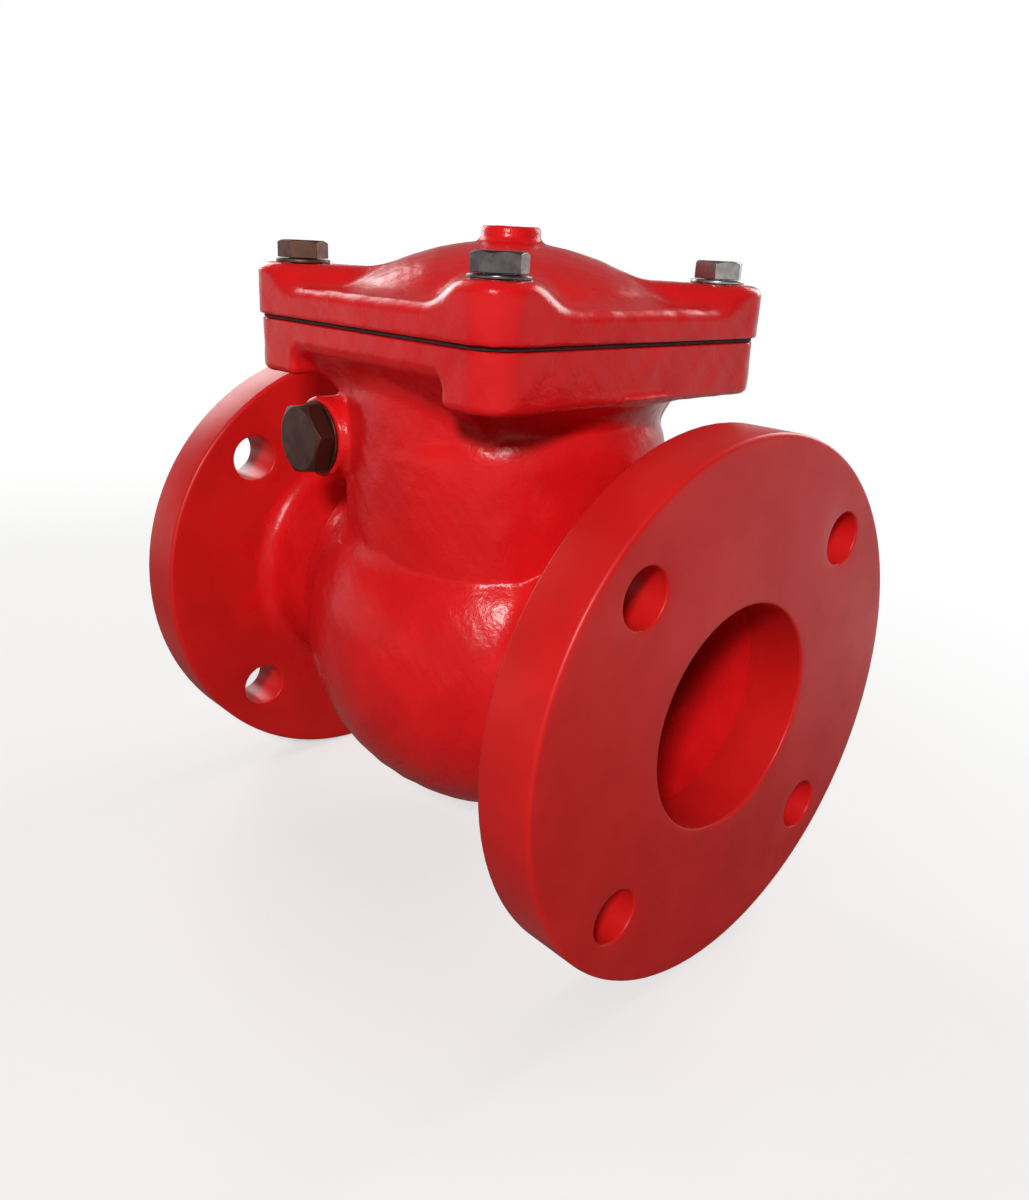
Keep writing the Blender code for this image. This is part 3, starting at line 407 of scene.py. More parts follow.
# Zinc plate on a forged bolt: bright grey metal with a faint cloudy bloom.
ZINC = Finish("zinc-plated forged steel", "#aaa6a3", "#938f8c", 1.0, (0.22, 0.34), 3.5, 0.7, 0.008)
# The same zinc plate, coloured greyer and darker for the front bolt: a painted dark reflection on
# its facets.
ZINC_DARK_REFLECTION = Finish("zinc-plated steel with painted dark reflection", "#6c6464", "#544c4c", 1.0, (0.2, 0.34), 4.0, 0.7,
                   0.008)
# Browned, oiled steel: dark metal with rusty clouds.
BROWNED = Finish("browned forged steel", "#6b4a3d", "#553a30", 0.7, (0.38, 0.52), 7.0, 1.0, 0.020)
# The plug's steel, browned and oiled deeper: dull and nearly black away from the light.
OILED = Finish("oiled forged steel", "#4e2a20", "#41231c", 0.6, (0.42, 0.56), 8.0, 1.0, 0.020)
# Turned gunmetal: a warm red-yellow bronze, bright where the tool passed.
GUNMETAL = TurnedMetal("turned gunmetal", "#c79a5c", "#b98850", 1.0, (0.26, 0.36), 9.0, 1.0, 0.01)
# Sand-cast gunmetal: the same alloy with its dull, grainy skin.
CAST_GUNMETAL = Finish("sand-cast gunmetal", "#b58a52", "#9a7445", 1.0, (0.45, 0.6), 7.0, 0.9, 0.05)
# Turned stainless steel: cool and bright.
STAINLESS = TurnedMetal("turned stainless steel", "#c4c4c4", "#b8b8b6", 1.0, (0.2, 0.3), 8.0, 1.0,
                        0.01)
# Grey iron under thin black coating: dull, grainy.
COATED_IRON = Finish("black-coated grey iron", "#3b3c40", "#2c2d30", 0.2, (0.5, 0.62), 12.0, 1.1,
                     0.05)
# Pressed fibre joint sheet, stained by the paint round it: matt.
SHEET = Finish("pressed fibre joint sheet", "#3d1414", "#2a0e0e", 0.0, (0.8, 0.9), 3.0, 0.6, 0.03)
# Annealed copper, coloured a dull dark brown: a dark ring round the plug.
COPPER = Finish("annealed copper", "#5f3428", "#4a2a22", 0.8, (0.45, 0.6), 3.0, 0.6, 0.01)


def capped(radial: Array, axial: Array, edge: float = 0.0) -> Array:
    """Return the distance to a solid that is both radially and axially bounded.

    Outside, it is the length of the two positive distances, and inside the larger of the
    two. A rounded edge is the same solid made smaller by the rounding and grown by it.
    """
    a = radial + edge
    b = axial + edge
    return np.minimum(np.maximum(a, b), 0) + np.hypot(np.maximum(a, 0), np.maximum(b, 0)) - edge


def blended(a: Array, b: Array, radius: float) -> Array:
    """Join two solids with a fillet that is a true arc where they meet squarely."""
    corner = np.hypot(np.maximum(radius - a, 0), np.maximum(radius - b, 0))
    return np.maximum(radius, np.minimum(a, b)) - corner


def shared(a: Array, b: Array, radius: float = 0.0) -> Array:
    """Keep what two solids share, with the new edge rounded."""
    if radius <= 0:
        return np.maximum(a, b)
    return -blended(-a, -b, radius)


def without(a: Array, b: Array, radius: float = 0.0) -> Array:
    """Take the second solid from the first, with the new edge rounded."""
    return shared(a, -b, radius)


def between(value: Array, low: float, high: float) -> Array:
    """Return the distance to a slab between two planes."""
    return np.abs(value - (low + high) / 2) - (high - low) / 2


def ellipsoid(x: Array, radial: Array, half_length: float, radius: float) -> Array:
    """Return nearly the distance to an ellipsoid turned about X.

    It is the scaled length times itself less one, over the length scaled twice.
    """
    once = np.hypot(x / half_length, radial / radius)
    twice = np.hypot(x / half_length ** 2, radial / radius ** 2)
    return once * (once - 1) / np.maximum(twice, 1e-9)


def square(x: Array, y: Array, half: float, corner: float) -> Array:
    """Return the flat distance to a square with rounded corners."""
    a = np.abs(x) - half + corner
    b = np.abs(y) - half + corner
    return np.minimum(np.maximum(a, b), 0) + np.hypot(np.maximum(a, 0), np.maximum(b, 0)) - corner


def sand_waves(x: Array, y: Array, z: Array, depth: float) -> Array:
    """Return the slow unevenness of a sand casting, as a sum of skewed sine waves."""
    a = np.sin(0.23 * x + 0.31 * y + 1.3) * np.sin(0.27 * z - 0.11 * x)
    b = np.sin(0.47 * y - 0.29 * z + 0.4) * np.sin(0.41 * x + 0.17 * z + 2.1)
    c = np.sin(0.83 * x + 0.21 * z) * np.sin(0.71 * y + 0.63 * z + 0.7)
    return depth * (0.5 * a + 0.3 * b + 0.2 * c)


@dataclass
class FieldMesher:
    """Turns a distance field into a closed mesh of four-sided faces.

    Space is split into cubes. Each cube edge that the surface crosses gives a point and a
    slope, and each crossed cube gets the one vertex that lies best on all the planes of
    its edges, so flat faces stay flat and sharp edges stay sharp. The four cubes round
    each crossed edge make one face.
    """

    low: Place
    high: Place
    cell: float
    pull: float = 0.04
    halvings: int = 3

    def slope(self, field: Field, points: Array) -> Array:
        """Return unit slopes of the field, from differences over a twentieth of a cell."""
        step = self.cell / 20
        slope = np.stack([field(*(points + shift).T) - field(*(points - shift).T)
                          for shift in np.eye(3) * step], axis=1)
        return slope / np.maximum(np.linalg.norm(slope, axis=1, keepdims=True), 1e-9)

    def crossings(self, field: Field, values: Array, axis: int) -> tuple[Array, Array, Array]:
        """Find the grid edges along an axis that cross the surface.

        Returns:
            The grid index of each edge, the crossing point and whether it leaves the solid.
        """
        size = values.shape[axis]
        first = np.take(values, range(size - 1), axis=axis)
        second = np.take(values, range(1, size), axis=axis)
        index = np.argwhere((first < 0) != (second < 0))
        low_value, high_value = first[tuple(index.T)], second[tuple(index.T)]
        leaves = low_value < 0
        start = np.asarray(self.low) + index * self.cell
        reach = np.eye(3)[axis] * self.cell
        low_share, high_share = np.zeros(len(index)), np.ones(len(index))
        share = low_value / (low_value - high_value)
        for _ in range(self.halvings):
            middle = field(*(start + share[:, None] * reach).T)
            same = (middle < 0) == (low_value < 0)
            low_share = np.where(same, share, low_share)
            low_value = np.where(same, middle, low_value)
            high_share = np.where(same, high_share, share)
            high_value = np.where(same, high_value, middle)
            gap = np.where(np.abs(low_value - high_value) < 1e-12, 1.0, low_value - high_value)
            share = low_share + (high_share - low_share) * np.clip(low_value / gap, 0, 1)
        return index, start + share[:, None] * reach, leaves

    def mesh(self, field: Field) -> Shell:
        """Return the surface of a field."""
        counts = [int(math.ceil((h - l) / self.cell)) + 1 for l, h in zip(self.low, self.high)]
        lines = [l + self.cell * np.arange(n) for l, n in zip(self.low, counts)]
        values = field(*np.meshgrid(*lines, indexing="ij"))
        strides = np.array([counts[1] * counts[2], counts[2], 1])
        cells, points, quads = [], [], []
        for axis in range(3):
            index, crossing, leaves = self.crossings(field, values, axis)
            u, v = (axis + 1) % 3, (axis + 2) % 3
            ring = []
            for back_u, back_v in ((1, 1), (0, 1), (0, 0), (1, 0)):
                ring.append(index @ strides - back_u * strides[u] - back_v * strides[v])
            ring = np.stack(ring, axis=1)
            quads.append(np.where(leaves[:, None], ring, ring[:, ::-1]))
            cells.append(ring.T.ravel())
            points.append(np.tile(crossing, (4, 1)))
        cells, points = np.concatenate(cells), np.concatenate(points)
        slopes = self.slope(field, points)
        names, number = np.unique(cells, return_inverse=True)
        number = number.ravel()
        vertices = self.settle(names, number, points, slopes, strides)
        faces = np.searchsorted(names, np.concatenate(quads))
        return Shell(vertices, faces)

    def settle(self, names: Array, number: Array, points: Array, slopes: Array,
               strides: Array) -> Array:
        """Place one vertex in each crossed cube, by least squares about the mean crossing."""
        count = np.bincount(number).astype(float)

        def mean(values: Array) -> Array:
            """Average values over the edges of each cube."""
            return np.bincount(number, weights=values) / count

        centre = np.stack([mean(points[:, i]) for i in range(3)], axis=1)
        offset = np.einsum("ij,ij->i", slopes, points - centre[number])
        square_sum = np.empty((len(names), 3, 3))
        for i in range(3):
            for j in range(3):
                square_sum[:, i, j] = mean(slopes[:, i] * slopes[:, j])
        right = np.stack([mean(slopes[:, i] * offset) for i in range(3)], axis=1)
        square_sum += np.eye(3) * self.pull
        move = np.linalg.solve(square_sum, right[:, :, None])[:, :, 0]
        corner = np.stack([names // strides[0], names % strides[0] // strides[1],
                           names % strides[1]], axis=1)
        low = np.asarray(self.low) + corner * self.cell
        return np.clip(centre + move, low, low + self.cell)


@dataclass
class BodyCasting:
    """The cast body between its two pipe flanges, with its hollows."""

    bulb_centre: float = -2.0
    bulb_drop: float = 5.0
    bulb_half_length: float = 83.0
    bulb_radius: float = 72.5
    bulb_wall: float = 8.0
    bulb_fillet: float = 3.0
    neck_radius: float = 49.0
    neck_fillet: float = 8.0
    flange_foot: float = 64.0
    housing_radius: float = 56.3
    housing_reach: Place = (-38.0, -58.0, -65.0)
    pocket_radius: float = 51.0
    pocket_reach: Span = (-46.0, -34.0)
    drum_radius: float = 60.5
    crease: float = 2.5
    wall: float = 8.0
    shoulder_radius: float = 60.2
    shoulder_shift: float = 4.3
    shoulder_height: float = 78.0
    shoulder_roof: float = 11.0
    shoulder_run: float = 4.6
    shoulder_round: float = 1.8
    plate_half: float = 69.0
    plate_corner: float = 12.5
    plate_thickness: float = 19.0
    plate_edge: float = 2.5
    plate_fillet: float = 3.5
    flare_radius: float = 67.5
    flare_foot: float = 59.5
    flare_depth: float = 7.0
    gusset_depth: float = 19.0
    gusset_half: float = 39.5
    gusset_reach: float = 67.8
    recess_centre: float = 2.5
    recess_half: float = 43.0
    recess_edge: float = 8.5
    recess_slope: float = 0.95
    boss_radius: float = 15.0
    boss_fillet: float = 4.0
    bush_radius: float = 9.2
    bush_end: float = 52.5
    spigot_radius: float = 10.3
    spot_radius: float = 14.2
    tapping_radius: float = 5.3
    seat_wall: float = -46.0
    seat_radius: float = 48.3
    seat_back: float = -58.0
    ends: float = 106.0
    sand_depth: float = 0.22
    cell: float = 1.4

    def plate(self, x: Array, y: Array, z: Array, upright: Array) -> Array:
        """Return the square flange with its flare and gussets, thinned along two sides."""
        base = JOINT - self.plate_thickness
        plan = square(x, y, self.plate_half, self.plate_corner)
        solid = capped(plan, between(z, base, JOINT + 6), self.plate_edge)
        run = self.flare_radius - self.flare_foot
        lean = math.hypot(run, self.flare_depth)
        cone = ((upright - self.flare_foot) * self.flare_depth
                - (z - base + self.flare_depth) * run) / lean
        flare = np.maximum(cone, between(z, base - self.flare_depth, base + 2))
        solid = blended(solid, flare, self.plate_edge)
        under = between(z, base - self.gusset_depth, base + 2)
        gusset = capped(between(x - self.recess_centre, -self.gusset_half, self.gusset_half),
                        np.maximum(np.abs(y) - self.gusset_reach, under))
        solid = np.minimum(solid, gusset)
        edge = JOINT - self.recess_edge - self.recess_slope * (self.plate_half - np.abs(y))
        below = (z - edge) / math.hypot(1, self.recess_slope)
        wedge = shared(below, np.abs(x - self.recess_centre) - self.recess_half, 4.0)
        return without(solid, wedge, 2.0)

    def pipe(self, x: Array, along: Array) -> Array:
        """Return the necks, with the swelling that holds the seat ring tapering into one."""
        front, back, end = self.housing_reach
        step = self.housing_radius - self.neck_radius
        cone = (along - self.housing_radius) * (back - end) - (x - back) * step
        cone = cone / math.hypot(step, back - end)
        housing = shared(np.maximum(along - self.housing_radius, x - front), cone, 2.0)
        return blended(along - self.neck_radius, housing, self.bulb_fillet)

    def outside(self, x: Array, y: Array, z: Array) -> Array:
        """Return the outer form: bulb, necks, drum, shoulder, hinge bosses and plate."""
        along = np.hypot(y, z)
        low = np.hypot(y, z + self.bulb_drop)
        upright = np.hypot(x, y)
        form = ellipsoid(x - self.bulb_centre, low, self.bulb_half_length, self.bulb_radius)
        form = blended(form, self.pipe(x, along), self.bulb_fillet)
        drum = capped(upright - self.drum_radius, between(z, 0, JOINT - 4))
        form = blended(form, drum, self.crease)
        aside = np.hypot(x - self.shoulder_shift, y)
        lean = math.hypot(self.shoulder_roof, self.shoulder_run)
        roof = ((aside - self.shoulder_radius) * self.shoulder_roof
                + (z - self.shoulder_height) * self.shoulder_run) / lean
        foot = shared(aside - self.shoulder_radius, roof, self.shoulder_round)
        foot = np.maximum(foot, between(z, 0, self.shoulder_height + self.shoulder_roof))
        form = np.minimum(form, foot)
        boss = capped(np.hypot(x - HINGE_X, z - HINGE_Z) - self.boss_radius,
                      np.abs(y) - BOSS_FACE, 1.5)
        form = blended(form, boss, self.boss_fillet)
        form = blended(form, self.plate(x, y, z, upright), self.plate_fillet)
        flange = np.maximum(FLANGE_BACK + SKIN - np.abs(x), along - self.flange_foot)
        return blended(form, flange, self.neck_fillet)

    def hollow(self, x: Array, y: Array, z: Array) -> Array:
        """Return the inner form: bulb, chamber, seat wall and both bores."""
        along = np.hypot(y, z)
        low = np.hypot(y, z + self.bulb_drop)
        core = ellipsoid(x - self.bulb_centre, low, self.bulb_half_length - self.bulb_wall,
                         self.bulb_radius - self.bulb_wall)
        chamber = np.maximum(np.hypot(x, y) - self.drum_radius + self.wall, -z)
        core = blended(core, chamber, 5.0)
        foot = np.maximum(np.hypot(x - self.shoulder_shift, y) - self.shoulder_radius + self.wall,
                          between(z, 0, self.shoulder_height - self.wall))
        core = blended(core, foot, self.bulb_fillet)
        ledge = self.seat_radius - FIT + self.bulb_wall
        core = without(core, np.maximum(x - self.seat_wall, z - ledge), 2.0)
        back, front = self.pocket_reach
        core = np.minimum(core, np.maximum(along - BORE_RADIUS - SKIN, front - x))
        core = np.minimum(core, np.maximum(along - self.pocket_radius, between(x, back, front)))
        bore = np.maximum(along - BORE_RADIUS - SKIN, x - self.seat_wall)
        seat = np.maximum(along - self.seat_radius, between(x, self.seat_back, self.seat_wall + 3))
        return np.minimum(core, np.minimum(bore, seat))

    def field(self, x: Array, y: Array, z: Array) -> Array:
        """Return the casting: its outside, roughened, then machined and drilled."""
        form = self.outside(x, y, z) + sand_waves(x, y, z, self.sand_depth)
        form = shared(form, z - JOINT, 0.8)
        form = without(form, self.hollow(x, y, z), 1.0)
        form = np.maximum(form, np.abs(x) - self.ends)
        pin = np.hypot(x - HINGE_X, z - HINGE_Z)
        bush = np.maximum(pin - self.bush_radius, between(y, -BOSS_FACE - 5, self.bush_end))
        plug = np.maximum(pin - self.spigot_radius, y + BOSS_FACE - PLUG_SPIGOT_LENGTH - FIT)
        spot = np.maximum(pin - self.spot_radius, y + BOSS_FACE)
        form = without(form, np.minimum(np.minimum(bush, plug), spot))
        bolt = np.hypot(np.abs(x) - BOLT_OFFSET, np.abs(y) - BOLT_OFFSET)
        return without(form, np.maximum(bolt - self.tapping_radius, JOINT - BOLT_DEPTH - 2 - z))

    def build(self) -> None:
        """Mesh and dress the casting."""
        mesher = FieldMesher((-107.8, -78.4, -81.2), (107.8, 78.4, 119.0), self.cell)
        write_piece("body_casting", mesher.mesh(self.field), CAST_PAINT, "housing",
                    ["body"], crease_deg=50.0, weld=False)


@dataclass
class CoverCasting:
    """The square cover: four bolt ridges, valleys between them and a shallow dome."""

    half: float = 70.0
    corner: float = 13.0
    edge_thickness: float = 10.5
    edge_round: float = 4.5
    ridge_half: float = 15.0
    ridge_round: float = 6.0
    valley_fillet: float = 9.0
    dome_top: float = 147.3
    dome_radius: float = 103.7
    dome_limit: float = 64.0
    dome_fillet: float = 3.5
    dome_wall: float = 8.0
    boss_radius: float = 11.8
    boss_height: float = 4.8
    boss_draft: float = 0.1
    boss_fillet: float = 2.5
    hole_radius: float = 5.6
    spot_radius: float = 10.4
    spot_depth: float = 0.25
    hollow_radius: float = 52.5
    sand_depth: float = 0.18
    cell: float = 1.25

    def field(self, x: Array, y: Array, z: Array) -> Array:
        """Return the cover: its top is a slab with ridges and a dome, cut to a square plan."""
        plan = square(x, y, self.half, self.corner)
        ridge = np.abs(np.abs(x) - np.abs(y)) / math.sqrt(2) - self.ridge_half
        ridge = shared(z - COVER_TOP, ridge, self.ridge_round)
        form = blended(z - COVER_FOOT - self.edge_thickness, ridge, self.valley_fillet)
        centre = self.dome_top - self.dome_radius
        upright = np.hypot(x, y)
        sphere = np.sqrt(upright ** 2 + (z - centre) ** 2)
        dome = shared(sphere - self.dome_radius, upright - self.dome_limit, 2.0)
        form = shared(blended(form, dome, self.dome_fillet), plan, self.edge_round)
        taper = (z - self.dome_top) * self.boss_draft
        boss = capped(upright - self.boss_radius + 0.6 + taper,
                      between(z, self.dome_top - 8, self.dome_top + self.boss_height), 1.0)
        form = blended(form, boss, self.boss_fillet)
        form = form + sand_waves(x, y, z, self.sand_depth)
        form = shared(form, COVER_FOOT - z, 0.8)
        inner = np.maximum(sphere - self.dome_radius + self.dome_wall, upright - self.hollow_radius)
        form = without(form, inner, 1.0)
        bolt = np.hypot(np.abs(x) - BOLT_OFFSET, np.abs(y) - BOLT_OFFSET)
        spot = np.maximum(bolt - self.spot_radius, COVER_TOP - self.spot_depth - z)
        return without(form, np.minimum(bolt - self.hole_radius, spot))

    def build(self) -> None:
        """Mesh and dress the casting."""
        mesher = FieldMesher((-72.5, -72.5, 113.0), (72.5, 72.5, 155.0), self.cell)
        write_piece("cover_casting", mesher.mesh(self.field), CAST_PAINT, "housing",
                    ["cover"], crease_deg=50.0, weld=False)


@dataclass
class PipeFlange:
    """One round flange with four plain bolt holes and a flat face."""

    end: End
    radius: float = 95.79
    thickness: float = 22.0
    bolt_circle: float = 76.2
    hole_radius: float = 9.55
    rim_edge: float = 1.6
    bore_edge: float = 1.0
    hole_edge: float = 0.8
    arc_steps: int = 52
    line_steps: int = 12

    def limits(self) -> Place:
        """Return how far the rim, the bore and the quarter's side lie from a hole's centre."""
        outer = self.radius - self.rim_edge - self.bolt_circle
        inner = BORE_RADIUS + self.bore_edge - self.bolt_circle
        return outer, inner, math.pi / 4 * self.bolt_circle

    def headings(self) -> Array:
        """Return the directions from a hole's centre, with one at each corner of its sector.

        Along the rim and the bore, each is halfway between the heading that steps evenly
        and the one whose tangent does, so that the hole and the rim are both round.
        """
        outer, inner, side = self.limits()
        first, second = math.atan2(side, outer), math.atan2(side, inner)
        step = np.linspace(-1, 1, self.arc_steps, endpoint=False)
        line = np.linspace(first, second, self.line_steps, endpoint=False)
        rim = (first * step + np.arctan(step * math.tan(first))) / 2
        turn = math.pi - second
        bore = math.pi + (turn * step + np.arctan(step * math.tan(turn))) / 2
        back = np.linspace(-second, -first, self.line_steps, endpoint=False) + 2 * math.pi
        return np.concatenate([rim, line, bore, back])

    def outline(self, heading: Array) -> Array:
        """Return where each heading leaves the hole's quarter of the face.

        In a strip unrolled along the bolt circle the quarter is a rectangle, and a heading
        leaves it at the nearest of its four sides. The strip is then rolled up again.
        """
        outer, inner, side = self.limits()
        cosine = np.where(np.abs(np.cos(heading)) < 1e-9, 1e-9, np.cos(heading))
        sine = np.maximum(np.abs(np.sin(heading)), 1e-9)
        reach = np.minimum(np.where(cosine > 0, outer, inner) / cosine, side / sine)
        distance = self.bolt_circle + reach * np.cos(heading)
        angle = reach * np.sin(heading) / self.bolt_circle
        return np.stack([distance * np.cos(angle), distance * np.sin(angle)], axis=1)

    def face(self, depth: float) -> Shell:
        """Return a quarter of a flat face: straight lines from the hole to the outline."""
        heading = self.headings()
        ring = np.stack([np.cos(heading), np.sin(heading)], axis=1)
        near = ring * (self.hole_radius + self.hole_edge) + (self.bolt_circle, 0.0)
        far = self.outline(heading)
        share = np.linspace(0, 1, 7)[None, :, None]
        flat = near[:, None] * (1 - share) + far[:, None] * share
        return self.placed(flat[..., 0], flat[..., 1], np.full(flat.shape[:2], depth))

    def hole(self) -> Shell:
        """Return one hole's wall with its two eased edges, a circle carried along its depth."""
        ease, deep = self.hole_edge, self.thickness
        wide = self.hole_radius + ease
        path = rounded([(wide, 0, 0), (self.hole_radius, 0, ease), (self.hole_radius, deep, ease),
                        (wide, deep, 0)])
        heading = self.headings()[:, None]
        return self.placed(self.bolt_circle + path[None, :, 0] * np.cos(heading),
                           path[None, :, 0] * np.sin(heading),
                           np.broadcast_to(path[None, :, 1], (len(heading), len(path))))

    def wall(self, corners: Sequence[Place], start: int) -> Shell:
        """Return a quarter of the rim or bore: a profile turned through the outline's angles."""
        path = rounded(corners, 5)
        heading = np.append(self.headings(), self.headings()[0])
        edge = self.outline(heading)[start:start + self.arc_steps + 1]
        angle = np.arctan2(edge[:, 1], edge[:, 0])[:, None]
        return self.placed(path[None, :, 0] * np.cos(angle), path[None, :, 0] * np.sin(angle),
                           np.broadcast_to(path[None, :, 1], (len(edge), len(path))), False)

    def placed(self, u: Array, v: Array, depth: Array, closed: bool = True) -> Shell:
        """Set flat points upright at a depth behind the flange's face."""
        points = np.stack([self.end.value * (HALF_LENGTH - depth), u, v], axis=2)
        return grid_shell(points, closed_rows=closed)

    def build(self) -> None:
        """Put four quarters round the axis and dress them."""
        deep = self.thickness
        rim = [(self.radius - self.rim_edge, 0, 0), (self.radius, 0, self.rim_edge),
               (self.radius, deep, self.rim_edge), (self.radius - self.rim_edge, deep, 0)]
        wide = BORE_RADIUS + self.bore_edge
        bore = [(wide, 0, 0), (BORE_RADIUS, 0, self.bore_edge), (BORE_RADIUS, deep, self.bore_edge),
                (wide, deep, 0)]
        quarter = joined([self.face(0.0), self.face(deep), self.hole(), self.wall(rim, 0),
                          self.wall(bore, self.arc_steps + self.line_steps)])
        parts = []
        for number in range(4):
            turn = np.array(Matrix.Rotation(math.pi / 4 + math.pi / 2 * number, 3, "X"))
            parts.append(Shell(quarter.points @ turn.T, quarter.faces))
        name = f"{self.end.name.lower()}_flange"
        write_piece(name, joined(parts), FLANGE_PAINT, "housing", ["body"])


@dataclass
class HexagonHead:
    """A hexagon head: flats, a turned chamfer that cuts arcs into them, and a flat crown."""

    flats: float
    height: float
    turn_deg: float = 0.0
    crown: float = 0.95
    chamfer_deg: float = 30.0
    steps: int = 12

    def shell(self, axis: Axis) -> Shell:
        """Return the head standing on the origin.

        At each angle the flat lies at half the flats over the cosine of the angle from
        its middle. The chamfer lowers the top by its slope times the distance past the
        crown, so the flats end in arcs.
        """
        heading = np.linspace(0, 2 * math.pi, 6 * self.steps, endpoint=False)
        aside = (heading + math.pi / 6) % (math.pi / 3) - math.pi / 6
        flat = self.flats / 2 / np.cos(aside)
        inner = self.flats / 2 * self.crown
        slope = math.tan(math.radians(self.chamfer_deg))
        none = np.zeros_like(flat)
        rows = [(none, none), (none + self.flats / 2 * 0.98, none),
                (flat, none + 0.02 * self.height)]
        for share in (0.0, 0.5, 1.0):
            out = flat * (1 - share) + inner * share
            rows.append((out, self.height - (out - inner) * slope))
        rows += [(none + inner * 0.6, none + self.height), (none, none + self.height)]
        radius, height = (np.stack(values, axis=1) for values in zip(*rows))
        angle = (heading + math.radians(self.turn_deg))[:, None]
        points = laid_out(axis, (radius * np.cos(angle), radius * np.sin(angle), height))
        return grid_shell(points, closed_rows=True)


def ease_edges(piece: bpy.types.Object, width_mm: float) -> None:
    """Round every sharp edge of a piece a little, as wear and plating do."""
    bevel = piece.modifiers.new("ease", "BEVEL")
    bevel.width = width_mm * MM
    bevel.segments = 2
    bevel.limit_method = "ANGLE"
    bevel.angle_limit = math.radians(28)


@dataclass
class CoverBolts:
    """Four metric ten bolts and their plain washers."""

    flats: float = 16.0
    head_height: float = 6.3
    shank_radius: float = 5.0
    washer_radius: float = 9.9
    washer_thickness: float = 1.3
    turn_deg: float = 30.0

    def shank(self) -> Array:
        """Return the shank's profile, from inside the head to its point."""
        top, foot = 3.0, JOINT - BOLT_DEPTH - self.seat()
        return rounded([(0, top, 0), (self.shank_radius, top, 0), (self.shank_radius, foot, 0.9),
                        (0, foot, 0)])

    def seat(self) -> float:
        """Return the height of the underside of the heads."""
        return COVER_TOP + FIT + self.washer_thickness + FIT

    def build(self) -> None:
        """Build each bolt and washer: one browned, one in zinc coloured darker as painted dark
        reflection, two bright zinc.
        """
        places = [(-BOLT_OFFSET, -BOLT_OFFSET), (BOLT_OFFSET, -BOLT_OFFSET),
                  (BOLT_OFFSET, BOLT_OFFSET), (-BOLT_OFFSET, BOLT_OFFSET)]
        for number, (x, y) in enumerate(places, start=1):
            # The second bolt, at the front corner, and its washer take the darker zinc: a painted
            # dark reflection.
            finish = (BROWNED, ZINC_DARK_REFLECTION, ZINC, ZINC)[number - 1]
            head = HexagonHead(self.flats, self.head_height, self.turn_deg)
            bolt = joined([head.shell(Axis.Z), turned(self.shank(), Axis.Z, 40)])
            piece = write_piece(f"bolt_{number}", bolt.moved((x, y, self.seat())), finish,
                                "housing", [f"cover_bolt_{number}"], crease_deg=25)
            ease_edges(piece, 0.25)
            washer = flat_ring(self.shank_radius + 0.5, self.washer_radius, self.washer_thickness,
                               (0.5, 0.3), Axis.Z)
            write_piece(f"washer_{number}", washer.moved((x, y, COVER_TOP + FIT)), finish,
                        "housing", [f"bolt_washer_{number}"])


@dataclass
class HingePlugSet:
    """The hexagon plug over the pin bore, and the copper washer that seals it."""

    flats: float = 24.5
    height: float = 7.4
    washer_radius: float = 13.7
    washer_thickness: float = 1.0
    spigot_radius: float = 10.0
    turn_deg: float = 10.0

    def build(self) -> None:
        """Build both pieces on the -Y side, with the head facing out."""
        seat = BOSS_FACE + self.washer_thickness + 2 * FIT
        head = HexagonHead(self.flats, self.height, self.turn_deg).shell(Axis.Y)
        reach = seat - BOSS_FACE + PLUG_SPIGOT_LENGTH
        spigot = turned(rounded([(0, 2, 0), (self.spigot_radius, 2, 0),
                                 (self.spigot_radius, -reach, 0.8), (0, -reach, 0)]), Axis.Y, 48)
        plug = joined([head, spigot])
        plug.points = plug.points * (-1.0, -1.0, 1.0)
        piece = write_piece("plug", plug.moved((HINGE_X, -seat, HINGE_Z)), OILED, "housing",
                            ["hinge_plug"], crease_deg=25)
        ease_edges(piece, 0.3)
        washer = flat_ring(self.spigot_radius + FIT, self.washer_radius, self.washer_thickness,
                           (0.35, 0.35), Axis.Y)
        place = (HINGE_X, -BOSS_FACE - FIT - self.washer_thickness, HINGE_Z)
        write_piece("sealing_washer", washer.moved(place), COPPER, "housing",
                    ["plug_washer"])


# The inner nodes keep their own solids, each under the finish of its metal.
CARRIED_OVER = (
    (COATED_IRON, "coated_iron", ("disc",)),
    (GUNMETAL, "gunmetal", ("disc_ring", "hinge_bush_left", "hinge_bush_right")),
    (CAST_GUNMETAL, "gunmetal", ("hinge_arm",)),
    (STAINLESS, "stainless", ("hinge_pin", "disc_washer", "disc_nut", "split_pin")),
    (SHEET, "joint_sheet", ("cover_gasket",)),
)


@dataclass
class SeatAndDisc:
    """The seat ring in its counterbore, and the clapper that closes on it."""

    seat_face: float = -45.0
    ring_length: float = 12.7
    lip: float = 1.0
    contact_inner: float = 41.2
    contact_outer: float = 46.2
    ring_radius: float = 48.0

    def build(self) -> None:
        """Turn the seat ring smooth, and dress the nodes that are carried over."""
        back = self.seat_face - self.ring_length
        wall = self.seat_face - self.lip
        corners = [(BORE_RADIUS, wall, 0.3), (self.contact_inner, self.seat_face, 0.3),
                   (self.contact_outer, self.seat_face, 0.3), (self.ring_radius, wall, 0.3),
                   (self.ring_radius, back, 0.3), (BORE_RADIUS, back, 0.5),
                   (BORE_RADIUS, wall, 0)]
        ring = turned(rounded(corners)[:-1], Axis.X, 128, ring=True)
        write_piece("seat", ring, GUNMETAL, "housing", ["seat_ring"])
        for finish, slot, names in CARRIED_OVER:
            for name in names:
                dress_node(name, finish)


